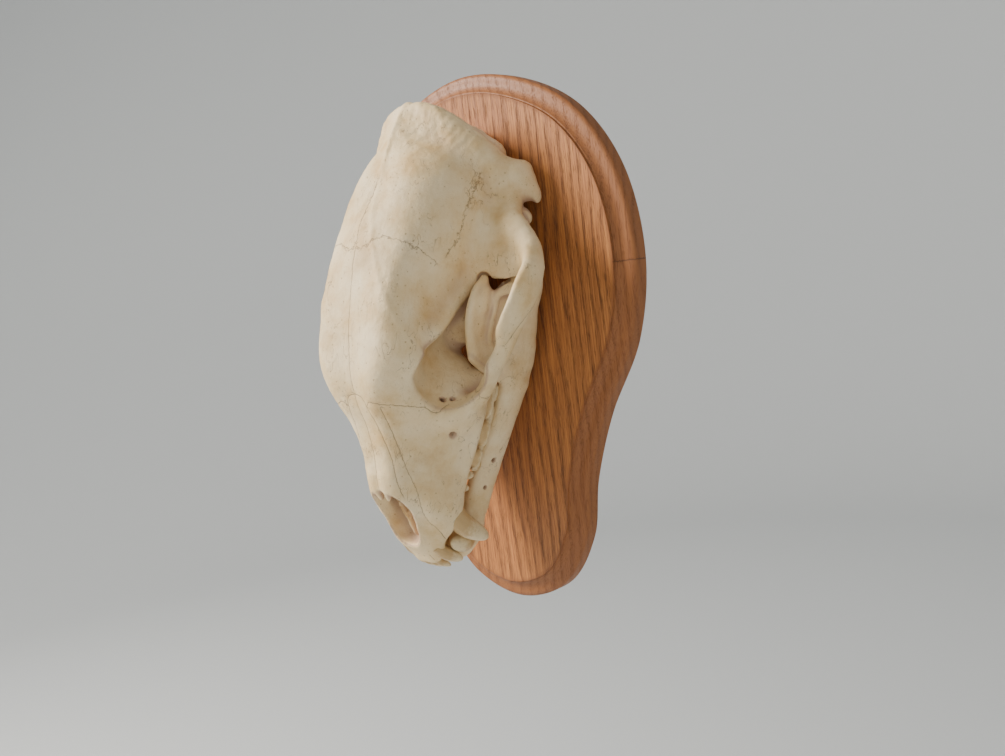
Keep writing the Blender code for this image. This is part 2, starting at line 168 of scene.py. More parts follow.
@dataclass(frozen=True)
class Pose:
    """Where the skull's frame stands in the room.

    Attributes:
        tilt: Degrees between the tooth row and the plaque's face.
        snout: Room place, in millimetres, of the point s = 0, h = 0.
    """

    tilt: float = 16.0
    snout: Point = (0.0, -80.4, -127.0)

    def to_room(self, points: Array) -> Array:
        """Turn and move skull points in millimetres to the room, in metres."""
        sin, cos = math.sin(math.radians(self.tilt)), math.cos(math.radians(self.tilt))
        axes = np.array(((1, 0, 0), (0, sin, cos), (0, -cos, sin)))
        return (points @ axes + np.array(self.snout)) * MM


POSE = Pose()


class Shape:
    """A solid told by how far a point lies outside it, in millimetres.

    Attributes:
        reach: Lowest and highest corner of the solid, in the skull's frame.
    """

    reach: tuple[Array, Array]

    def distance(self, x: Array, s: Array, h: Array) -> Array:
        """How far points lie outside the solid; negative inside it."""
        raise NotImplementedError


def oval_distance(parts: Sequence[Array], radii: Sequence[Any]) -> Array:
    """Length of an offset in units of the radii, less one, times a local radius.

    Args:
        parts: The offset from the oval's middle, one array per axis.
        radii: The radius along each axis, as a number or an array.

    Returns:
        Distances, negative inside the oval.
    """
    unit = np.sqrt(sum((part / radius) ** 2 for part, radius in zip(parts, radii))) + TINY
    length = np.sqrt(sum(part ** 2 for part in parts)) + TINY
    return (unit - 1) * length / unit


def nearest(parts: Sequence[Array], run: Array) -> tuple[Array, Array]:
    """Find where a straight stretch comes nearest to points.

    Args:
        parts: Offsets from the stretch's start, one array per axis.
        run: The stretch from start to end, one number or array per axis.

    Returns:
        The share of the stretch that lies before that place, and the distance to it.
    """
    along = sum(part * step for part, step in zip(parts, run))
    share = np.clip(along / ((run ** 2).sum(axis=0) + NIL), 0, 1)
    return share, np.sqrt(sum((part - share * step) ** 2 for part, step in zip(parts, run)))


def capped(value: Array, place: Array, stops: Array) -> Array:
    """Close a shape that runs along one axis at the first and the last of its stops."""
    past = np.maximum(stops[0] - place, place - stops[-1])
    return np.where(past > 0, np.hypot(np.maximum(value, 0), past), np.maximum(value, past))


class Lump(Shape):
    """An ellipsoid, which may be tipped about the x axis."""

    def __init__(self, middle: Point, radii: Point, tip: float = 0.0) -> None:
        """Set the middle, the three radii and the tip in degrees, back end up."""
        self.middle, self.radii = np.array(middle, float), np.array(radii, float)
        self.sin, self.cos = math.sin(math.radians(tip)), math.cos(math.radians(tip))
        size = self.radii if tip == 0 else np.full(3, self.radii.max())
        self.reach = (self.middle - size, self.middle + size)

    def distance(self, x: Array, s: Array, h: Array) -> Array:
        """Distance to the ellipsoid."""
        x, s, h = x - self.middle[0], s - self.middle[1], h - self.middle[2]
        along, up = s * self.cos + h * self.sin, h * self.cos - s * self.sin
        return oval_distance((x, along, up), self.radii)


class Bar(NamedTuple):
    """A station of a swept oval: its middle, half its height and half its thickness."""

    x: float
    s: float
    h: float
    half_height: float
    half_thick: float


class Curve(Shape):
    """A shape carried along a curve, in short straight stretches."""

    SPAN = 5

    def __init__(self, stations: Sequence[tuple[float, ...]]) -> None:
        """Draw the curve through stations of x, s, h and the sizes there."""
        self.path = smooth_path(stations, self.SPAN)
        size = self.path[:, 3:].max()
        self.reach = (self.path[:, :3].min(axis=0) - size, self.path[:, :3].max(axis=0) + size)

    def stretch(self, near: Array, far: Array, parts: Sequence[Array]) -> Array:
        """Distance to one stretch, from its two ends and the points' offsets from the near one."""
        raise NotImplementedError

    def distance(self, x: Array, s: Array, h: Array) -> Array:
        """The least distance to any stretch."""
        best = np.inf
        for near, far in zip(self.path, self.path[1:]):
            parts = (x - near[0], s - near[1], h - near[2])
            best = np.minimum(best, self.stretch(near, far, parts))
        return best


class Sweep(Curve):
    """An upright oval carried along a curve of Bars."""

    def stretch(self, near: Array, far: Array, parts: Sequence[Array]) -> Array:
        """Distance to the oval that stands where the stretch is nearest in plan."""
        share, side = nearest(parts[:2], far[:2] - near[:2])
        rise, high, thick = (share * (far[i] - near[i]) + start
                             for i, start in ((2, 0.0), (3, near[3]), (4, near[4])))
        return oval_distance((side, parts[2] - rise), (thick, high))


class Tube(Curve):
    """A round tube along a curve through stations of x, s, h and radius."""

    def stretch(self, near: Array, far: Array, parts: Sequence[Array]) -> Array:
        """Distance to the stretch less the radius there."""
        share, gap = nearest(parts, far[:3] - near[:3])
        return gap - near[3] - share * (far[3] - near[3])


class Slab(Shape):
    """A flat oval plate lofted outwards across x."""

    SPAN = 6

    def __init__(self, stations: Sequence[tuple[float, ...]]) -> None:
        """Keep the stations: x, middle s, middle h, half length and half height."""
        self.table = smooth_path(stations, self.SPAN)
        middles, halves = self.table[:, 1:3], self.table[:, 3:]
        self.reach = (np.array((self.table[0, 0], *(middles - halves).min(axis=0))),
                      np.array((self.table[-1, 0], *(middles + halves).max(axis=0))))

    def distance(self, x: Array, s: Array, h: Array) -> Array:
        """Distance to the oval at that x, joined to the distance past either end."""
        stops, *columns = self.table.T
        middle_s, middle_h, long, high = (np.interp(x, stops, column) for column in columns)
        return capped(oval_distance((s - middle_s, h - middle_h), (long, high)), x, stops)


def outline_distance(x: Array, h: Array, line: Array) -> Array:
    """Signed distance in a plane from points to an outline.

    The distance is the least one to the outline's straight stretches, and a point is
    inside where a ray towards +x crosses the outline an odd number of times.

    Args:
        x: Column of x values.
        h: Row of h values.
        line: The outline's points. An outline that is open on the midline x = 0 is
            closed by that line.

    Returns:
        Distances on the grid of x and h, negative inside.
    """
    a, b = line[:-1], line[1:]
    run = (b - a).T
    px, ph = x[..., None] - a[:, 0], h[..., None] - a[:, 1]
    gap = nearest((px, ph), run)[1].min(axis=-1)
    spans = (a[:, 1] > h[..., None]) != (b[:, 1] > h[..., None])
    slope = run[0] / np.where(np.abs(run[1]) < NIL, NIL, run[1])
    crossed = spans & (px < slope * ph)
    return np.where(crossed.sum(axis=-1) % 2 == 1, -gap, gap)


class Loft(Shape):
    """Outlines across x and h, blended along s."""

    STEEPNESS = (0.8, 2.5)

    def __init__(self, rows: Array, outlines: Array) -> None:
        """Keep the outlines' s values and their points, one outline per row."""
        self.rows, self.outlines = rows, outlines
        self.reach = (np.array((0, rows[0], outlines[..., 1].min())),
                      np.array((outlines[..., 0].max(), rows[-1], outlines[..., 1].max())))

    def distance(self, x: Array, s: Array, h: Array) -> Array:
        """Distance in each slice's plane, eased by its slope and closed past both ends."""
        stops = s.ravel()
        flat = self.outlines.reshape(len(self.rows), -1)
        values = np.empty((x.shape[0], len(stops), h.shape[2]), np.float32)
        for i, stop in enumerate(np.clip(stops, self.rows[0], self.rows[-1])):
            line = np.array([np.interp(stop, self.rows, column) for column in flat.T])
            values[:, i] = outline_distance(x[:, 0], h[0], line.reshape(-1, 2))
        steep = np.sqrt(sum(slope ** 2 for slope in np.gradient(values, stops[1] - stops[0])))
        return capped(values / np.clip(steep, *self.STEEPNESS), s, self.rows)


class BoneBlock:
    """A block of space that bone is built up in and hollowed out of.

    Attributes:
        axes: Sample places along x, s and h.
        values: Distance outside the bone at each sample.
    """

    FAR = 30.0
    MARGIN = 7.0
    SLOPE_REACH = 0.75
    SHELTER_STEPS = ((2.0, 0.2), (4.5, 0.35), (9.0, 0.45))

    def __init__(self, low: Point, high: Point, step: float) -> None:
        """Start an empty block between two corners."""
        self.step = step
        self.axes = [np.arange(a, b + step, step, dtype=np.float32) for a, b in zip(low, high)]
        self.values = np.full([len(axis) for axis in self.axes], self.FAR, np.float32)

    def _window(self, shape: Shape) -> tuple[tuple[slice, ...], list[Array]]:
        """The samples near a shape, and their coordinates ready to combine."""
        window, places = [], []
        for i, axis in enumerate(self.axes):
            first = int(np.searchsorted(axis, shape.reach[0][i] - self.MARGIN))
            last = int(np.searchsorted(axis, shape.reach[1][i] + self.MARGIN))
            window.append(slice(first, last))
            size = [1, 1, 1]
            size[i] = -1
            places.append(axis[first:last].reshape(size))
        return tuple(window), places

    def _join(self, sign: int, blend: float, shapes: Sequence[Shape]) -> None:
        """Join shapes to the bone where sign is 1, or to the space round it where it is -1."""
        for shape in shapes:
            window, places = self._window(shape)
            if all(part.stop > part.start for part in window):
                joined = soft_min(sign * self.values[window], shape.distance(*places), blend)
                self.values[window] = sign * joined

    def add(self, blend: float, *shapes: Shape) -> None:
        """Grow shapes onto the bone with a fillet of about the given radius."""
        self._join(1, blend, shapes)

    def cut(self, blend: float, *shapes: Shape) -> None:
        """Hollow shapes out of the bone, with a rim rounded by about the given radius."""
        self._join(-1, blend, shapes)

    def mirror(self) -> None:
        """Reflect a block that starts on the plane x = 0, so that it spans both sides."""
        self.values = np.concatenate((self.values[:0:-1], self.values))
        self.axes[0] = np.concatenate((-self.axes[0][:0:-1], self.axes[0]))

    @property
    def low(self) -> Array:
        """The block's lowest corner."""
        return np.array([axis[0] for axis in self.axes])

    def sample(self, points: Array) -> Array:
        """Values at any points, by averaging the eight samples round each."""
        place = (points - self.low) / self.step
        cell = np.clip(np.floor(place).astype(int), 0, np.array(self.values.shape) - 2)
        return corner_average(self.values, cell, place - cell)

    def slope(self, points: Array) -> Array:
        """Unit vectors in which the distance grows fastest, by central differences."""
        reach = self.step * self.SLOPE_REACH
        grown = np.stack([self.sample(points + reach * axis) - self.sample(points - reach * axis)
                          for axis in np.eye(3)], axis=1)
        return grown / (np.linalg.norm(grown, axis=1)[:, None] + NIL)

    def shelter(self, points: Array, normals: Array) -> Array:
        """How closed in each surface point is: 0 in the open, towards 1 in a deep hollow.

        Steps are taken straight out from the surface. In the open the distance to the bone
        grows by the step; what it falls short of that, over the step, is the shelter.
        """
        return sum(weight * np.clip(1 - self.sample(points + step * normals) / step, 0, 1)
                   for step, weight in self.SHELTER_STEPS)

    def surface(self) -> tuple[Array, Array]:
        """The zero surface as points and four-sided faces.

        Each cell that the surface passes through gets one point, the average of its edges'
        crossings; each grid edge that is crossed gives a face through its four cells. The
        points are then evened out and moved back onto the surface along its slope.
        """
        inside = self.values < 0
        corners = [inside[i:i - 1 or None, j:j - 1 or None, k:k - 1 or None]
                   for i, j, k in np.ndindex(2, 2, 2)]
        count = sum(corner.astype(np.int8) for corner in corners)
        cells = np.argwhere((count > 0) & (count < 8))
        number = np.full(count.shape, -1)
        number[tuple(cells.T)] = np.arange(len(cells))
        total, hits = np.zeros((len(cells), 3)), np.zeros(len(cells))
        faces = []
        for axis in range(3):
            others = [a for a in range(3) if a != axis]
            unit = np.eye(3, dtype=int)[axis]
            for offset in np.ndindex(2, 2):
                start = cells.copy()
                start[:, others] += offset
                a = self.values[tuple(start.T)]
                b = self.values[tuple((start + unit).T)]
                crossed = (a < 0) != (b < 0)
                t = a / np.where(crossed, a - b, 1)
                total += np.where(crossed[:, None], start + t[:, None] * unit, 0)
                hits += crossed
            first = np.take(inside, range(inside.shape[axis] - 1), axis=axis)
            second = np.take(inside, range(1, inside.shape[axis]), axis=axis)
            for leaving in (True, False):
                edges = np.argwhere(first & ~second if leaving else ~first & second)
                edges = edges[(edges[:, others] > 0).all(axis=1)]
                edges = edges[(edges[:, others] < np.array(count.shape)[others]).all(axis=1)]
                ring = []
                for back in ((1, 1), (0, 1), (0, 0), (1, 0)):
                    cell = edges.copy()
                    cell[:, others] -= back
                    ring.append(number[tuple(cell.T)])
                turned = leaving != (axis == 1)
                faces.append(np.stack(ring if turned else ring[::-1], axis=1))
        faces = np.vstack(faces)
        points = total / hits[:, None] * self.step + self.low
        for _ in range(2):
            points = even_out(points, faces, 0.5)
            for _ in range(2):
                points -= self.sample(points)[:, None] * self.slope(points)
        return points, faces


def face_edges(faces: Array) -> Array:
    """The point numbers at the two ends of each side of four-sided faces."""
    return np.vstack([faces[:, (i, (i + 1) % 4)] for i in range(4)])


def even_out(points: Array, faces: Array, share: float) -> Array:
    """Move each point part of the way to the middle of its neighbours along face edges."""
    edges = face_edges(faces)
    total = np.stack([np.bincount(edges[:, 0], points[edges[:, 1], i], len(points))
                      + np.bincount(edges[:, 1], points[edges[:, 0], i], len(points))
                      for i in range(3)], axis=1)
    count = np.bincount(edges.ravel(), minlength=len(points))[:, None]
    return points + share * (total / np.maximum(count, 1) - points)


def largest_part(points: Array, faces: Array) -> tuple[Array, Array]:
    """Drop every scrap that doesn't hang together with the largest surface."""
    label = np.arange(len(points))
    edges = face_edges(faces)
    while True:
        lowest = label.copy()
        np.minimum.at(lowest, edges[:, 0], label[edges[:, 1]])
        np.minimum.at(lowest, edges[:, 1], label[edges[:, 0]])
        lowest = lowest[lowest]
        if (lowest == label).all():
            break
        label = lowest
    kept = label == np.bincount(label).argmax()
    number = np.cumsum(kept) - 1
    return points[kept], number[faces[kept[faces[:, 0]]]]


def linked(name: str, data: Any) -> bpy.types.Object:
    """A new object of the given data, in the scene."""
    thing = bpy.data.objects.new(name, data)
    bpy.context.scene.collection.objects.link(thing)
    return thing


def make_mesh(name: str, points: Array, faces: Array,
              values: dict[str, Array] | None = None) -> bpy.types.Object:
    """Put points and faces into a smoothly shaded mesh object at the room's origin.

    Args:
        name: The piece's name.
        points: Room places in metres.
        faces: Rows of point numbers, all of one length.
        values: Named numbers, one per point, that materials read as attributes.

    Returns:
        The new object.
    """
    mesh = bpy.data.meshes.new(name)
    mesh.vertices.add(len(points))
    mesh.vertices.foreach_set("co", points.astype(np.float32).ravel())
    sides = faces.shape[1]
    mesh.loops.add(faces.size)
    mesh.loops.foreach_set("vertex_index", faces.astype(np.int32).ravel())
    mesh.polygons.add(len(faces))
    mesh.polygons.foreach_set("loop_start", np.arange(0, faces.size, sides, dtype=np.int32))
    for key, numbers in (values or {}).items():
        attribute = mesh.attributes.new(key, "FLOAT", "POINT")
        attribute.data.foreach_set("value", numbers.astype(np.float32))
    mesh.update(calc_edges=True)
    mesh.validate()
    mesh.shade_smooth()
    return linked(name, mesh)


def ring_corners(count: int, sides: int) -> tuple[Array, Array, Array, Array]:
    """Point numbers at the corners of each four-sided face between rings of points."""
    near = (np.arange(count - 1) * sides)[:, None]
    around = np.arange(sides)
    after = (around + 1) % sides
    return near + around, near + after, near + sides + after, near + sides + around


def ring_surface(rings: Array) -> tuple[Array, Array]:
    """Triangles through rings of points, closed at both ends by a fan to the ring's middle.

    Args:
        rings: Points by ring, by place round the ring, by coordinate.

    Returns:
        The points, and rows of three point numbers, turned to face outwards.
    """
    count, sides = rings.shape[:2]
    points = np.vstack((rings.reshape(-1, 3), rings[0].mean(axis=0), rings[-1].mean(axis=0)))
    a, b, c, d = ring_corners(count, sides)
    walls = np.concatenate((np.stack((a, b, c), -1), np.stack((a, c, d), -1))).reshape(-1, 3)
    around = np.arange(sides)
    after = (around + 1) % sides
    first = np.stack((after, around, np.full(sides, count * sides)), axis=1)
    last = np.stack((around, after, np.full(sides, count * sides + 1)), axis=1)
    last[:, :2] += (count - 1) * sides
    faces = np.vstack((walls, first, last))
    corner = points[faces]
    volume = (corner[:, 0] * np.cross(corner[:, 1], corner[:, 2])).sum()
    return points, faces if volume > 0 else faces[:, ::-1]


class Seam(NamedTuple):
    """A suture between two bones.

    Attributes:
        points: Places (x, s, h) that it runs through.
        zigzag: How far its teeth reach, in millimetres.
        mirrored: Whether the other side has one too.
    """

    points: tuple[Point, ...]
    zigzag: float = 0.5
    mirrored: bool = True


def seam_values(points: Array, normals: Array, seams: Sequence[Seam]) -> dict[str, Array]:
    """How each surface point lies to the nearest suture.

    The offset from the nearest place on a suture is laid flat on the surface. Its length
    is the distance, and its sign tells the suture's two sides apart.

    Args:
        points: Surface points in the skull's frame.
        normals: Outward directions there.
        seams: The sutures.

    Returns:
        Vertex values: the signed distance, the closeness from 0 to 1 and the zigzag's reach.
    """
    best, signed = np.full(len(points), SEAM_REACH), np.full(len(points), SEAM_REACH)
    zigzag = np.zeros(len(points))
    for seam in seams:
        for side in ((1, -1) if seam.mirrored else (1,)):
            path = smooth_path(seam.points, Curve.SPAN) * (side, 1, 1)
            room = 2 * SEAM_REACH
            near = np.flatnonzero(((points > path.min(axis=0) - room)
                                   & (points < path.max(axis=0) + room)).all(axis=1))
            for start, end in zip(path, path[1:]):
                run = end - start
                offset = points[near] - start
                offset -= np.clip(offset @ run / (run @ run), 0, 1)[:, None] * run
                rise = (offset * normals[near]).sum(axis=1)
                flat = offset - rise[:, None] * normals[near]
                gap = np.linalg.norm(flat, axis=1)
                hit = (gap < best[near]) & (np.abs(rise) < SEAM_DEPTH)
                sign = np.sign((np.cross(run, flat) * normals[near]).sum(axis=1))
                chosen = near[hit]
                best[chosen] = gap[hit]
                signed[chosen] = (gap * sign)[hit]
                zigzag[chosen] = seam.zigzag
    return {"seam": signed, "seam_near": 1 - best / SEAM_REACH, "seam_zigzag": zigzag}


def draw(block: BoneBlock, seams: Sequence[Seam]) -> tuple[Array, Array, Array, dict[str, Array]]:
    """A block's largest surface: points, faces, outward directions and vertex values."""
    points, faces = largest_part(*block.surface())
    normals = block.slope(points)
    values = seam_values(points, normals, seams)
    # How closed in each point is; the bone material darkens there as painted shade.
    values["hollow"] = block.shelter(points, normals)
    return points, faces, normals, values


def math_method(operation: str, swapped: bool = False) -> Callable[..., Value]:
    """A method that puts a value and what it is combined with through one Math node.

    Args:
        operation: What the node does.
        swapped: Whether the value itself comes last.

    Returns:
        The method.
    """

    def method(self: Value, *others: Any) -> Value:
        """Add the node and wrap its result."""
        terms = (*others, self) if swapped else (self, *others)
        made = self.shader.node("ShaderNodeMath", {"operation": operation}, dict(enumerate(terms)))
        return Value(self.shader, made.outputs[0])

    return method


class Value:
    """A number that varies over a surface: a node's socket that takes part in arithmetic."""

    def __init__(self, shader: Shader, socket: Any) -> None:
        """Wrap a socket of the shader's tree."""
        self.shader, self.socket = shader, socket

    __add__ = __radd__ = math_method("ADD")
    __sub__ = math_method("SUBTRACT")
    __rsub__ = math_method("SUBTRACT", swapped=True)
    __mul__ = __rmul__ = math_method("MULTIPLY")
    __truediv__ = math_method("DIVIDE")
    __abs__ = math_method("ABSOLUTE")
    fract = math_method("FRACT")

    def step(self, start: float, end: float) -> Value:
        """Zero at start, one at end, with a smooth change between; start may be the larger."""
        node = self.shader.node("ShaderNodeMapRange", {"interpolation_type": "SMOOTHSTEP"},
                                {"Value": self, "From Min": start, "From Max": end})
        return Value(self.shader, node.outputs["Result"])


class Shader:
    """A material under construction."""

    def __init__(self, name: str) -> None:
        """Start a material with a Principled shader and nothing else."""
        self.material = bpy.data.materials.new(name)
        self.material.use_nodes = True
        self.tree = self.material.node_tree
        self.surface = self.tree.nodes["Principled BSDF"]

    def node(self, kind: str, settings: dict[str, Any] | None = None,
             inputs: dict[Any, Any] | None = None) -> Any:
        """Add a node.

        Args:
            kind: The node's type.
            settings: Properties set before its sockets are filled. A key "stops" holds a
                colour ramp's places and colours.
            inputs: Numbers, colours, sockets or values by socket name or number.

        Returns:
            The node.
        """
        made = self.tree.nodes.new(kind)
        for key, setting in (settings or {}).items():
            if key == "stops":
                ramp = made.color_ramp
                while len(ramp.elements) < len(setting):
                    ramp.elements.new(0.5)
                for element, (place, colour) in zip(ramp.elements, setting):
                    element.position = place
                    element.color = (*colour, 1.0)
            else:
                setattr(made, key, setting)
        for key, given in (inputs or {}).items():
            self.fill(made.inputs[key], given)
        return made

    def fill(self, socket: Any, given: Any) -> None:
        """Link a value or socket to a socket, or set its number or colour."""
        if isinstance(given, Value):
            given = given.socket
        if isinstance(given, bpy.types.NodeSocket):
            self.tree.links.new(given, socket)
        elif isinstance(given, tuple) and len(given) == 3 and len(socket.default_value) == 4:
            socket.default_value = (*given, 1.0)
        else:
            socket.default_value = given

    def places(self) -> Any:
        """Object coordinates, in metres."""
        return self.node("ShaderNodeTexCoord").outputs["Object"]

    def attribute(self, name: str) -> Value:
        """A number that the mesh carries."""
        node = self.node("ShaderNodeAttribute", {"attribute_name": name})
        return Value(self, node.outputs["Fac"])

    def moved(self, vector: Any, place: Point = (0, 0, 0), turn: Point = (0, 0, 0),
              size: Point = (1, 1, 1), kind: str = "POINT") -> Any:
        """A vector moved, turned (in degrees) and stretched."""
        turns = tuple(math.radians(angle) for angle in turn)
        return self.node("ShaderNodeMapping", {"vector_type": kind},
                         {"Vector": vector, "Location": place, "Rotation": turns,
                          "Scale": size}).outputs["Vector"]

    def split(self, vector: Any) -> tuple[Value, Value, Value]:
        """A vector's three numbers."""
        outputs = self.node("ShaderNodeSeparateXYZ", None, {"Vector": vector}).outputs
        return tuple(Value(self, output) for output in outputs)

    def millimetres(self) -> Any:
        """Object coordinates, in millimetres."""
        return self.moved(self.places(), size=(1 / MM, 1 / MM, 1 / MM))

    def noise(self, vector: Any, scale: float, detail: float = 2.0, roughness: float = 0.5,
              size: Point | None = None) -> Value:
        """Noise between 0 and 1, over a vector that is first stretched by any size given."""
        if size:
            vector = self.moved(vector, size=size)
        node = self.node("ShaderNodeTexNoise", None, {"Vector": vector, "Scale": scale,
                                                      "Detail": detail, "Roughness": roughness})
        return Value(self, node.outputs["Fac"])

    def cells(self, vector: Any, scale: float) -> Value:
        """Distance to the nearest of random points."""
        node = self.node("ShaderNodeTexVoronoi", None, {"Vector": vector, "Scale": scale})
        return Value(self, node.outputs["Distance"])

    def mix(self, share: Any, first: Any, second: Any) -> Any:
        """A colour between two others."""
        node = self.node("ShaderNodeMix", {"data_type": "RGBA"})
        for socket, given in ((0, share), (6, first), (7, second)):
            self.fill(node.inputs[socket], given)
        return node.outputs[2]

    def ramp(self, value: Any, stops: Sequence[tuple[float, Point]]) -> Any:
        """A colour by a value's place on a ramp."""
        return self.node("ShaderNodeValToRGB", {"stops": stops}, {"Fac": value}).outputs["Color"]

    def bump(self, height: Any, distance: float, under: Any = None) -> Any:
        """A normal bent by a height of the given number of metres."""
        inputs = {"Height": height, "Distance": distance}
        if under is not None:
            inputs["Normal"] = under
        return self.node("ShaderNodeBump", None, inputs).outputs["Normal"]

    def dress(self, **sockets: Any) -> bpy.types.Material:
        """Fill the Principled shader's sockets, with _ for a space, and return the material."""
        for key, given in sockets.items():
            self.fill(self.surface.inputs[key.replace("_", " ").title()], given)
        return self.material


class Side(Enum):
    """A side of the animal, by the sign of x."""

    LEFT = 1
    RIGHT = -1


class Section(NamedTuple):
    """Half a section across the cranium: crown, shoulder, temporal edge, side, base, floor."""

    s: float
    crown: float
    roof_x: float
    roof_h: float
    edge_x: float
    edge_h: float
    side_x: float
    side_h: float
    base_x: float
    base_h: float
    floor: float


CRANIUM_SECTIONS = (
    Section(-2, 8, 4, 8, 7, 7.5, 9, 6.5, 8, 5, 5),
    Section(4, 15, 6, 15, 11, 13, 15, 9, 14, 5.5, 5.5),
    Section(12, 27, 7, 27, 13, 23, 20, 14, 16, 8, 7),
    Section(22, 37, 8, 36, 15, 30, 25.5, 17, 23.5, 8, 9),
    Section(34, 47, 10, 46, 19, 37, 28.5, 20, 27, 8, 11),
    Section(48, 53, 11, 52, 20, 42, 28.5, 22, 27, 8, 12),
    Section(62, 57, 12, 55.5, 21.5, 45.5, 29, 24, 29, 9, 13),
    Section(78, 64, 14, 63, 25, 53.5, 33, 30, 34, 9, 13),
    Section(90, 72, 17, 72, 31, 60.5, 39, 36, 40, 9, 13),
    Section(102, 78, 22, 79.5, 35, 66, 36, 42, 42, 9.5, 13),
    Section(112, 81, 26, 82.5, 39, 66, 25, 43, 40, 11, 14),
    Section(122, 83, 29, 83.5, 42, 65, 22, 42, 33, 14, 15),
    Section(134, 84.5, 30, 84, 41, 64, 24, 42, 20, 14, 17),
    Section(148, 85.5, 31, 84, 38, 62, 29, 42, 20, 18, 20),
    Section(162, 86, 31, 83, 38, 62, 37, 42, 25, 20, 20),
    Section(180, 86, 30, 81, 41, 66, 45, 42, 30, 17, 16),
    Section(200, 83, 27, 78, 42, 64, 48, 41, 38, 13, 11),
    Section(220, 76, 25, 74, 42, 59, 50, 34, 44, 10, 8),
    Section(240, 70, 21, 68, 39, 54, 51, 26, 46, 8, 7),
    Section(256, 67, 17, 60, 32, 46, 47, 22, 36, 10, 10),
    Section(268, 63, 13, 54, 24, 40, 34, 25, 22, 15, 15),
    Section(276, 57, 8, 50, 14, 42, 18, 33, 11, 24, 24),
)


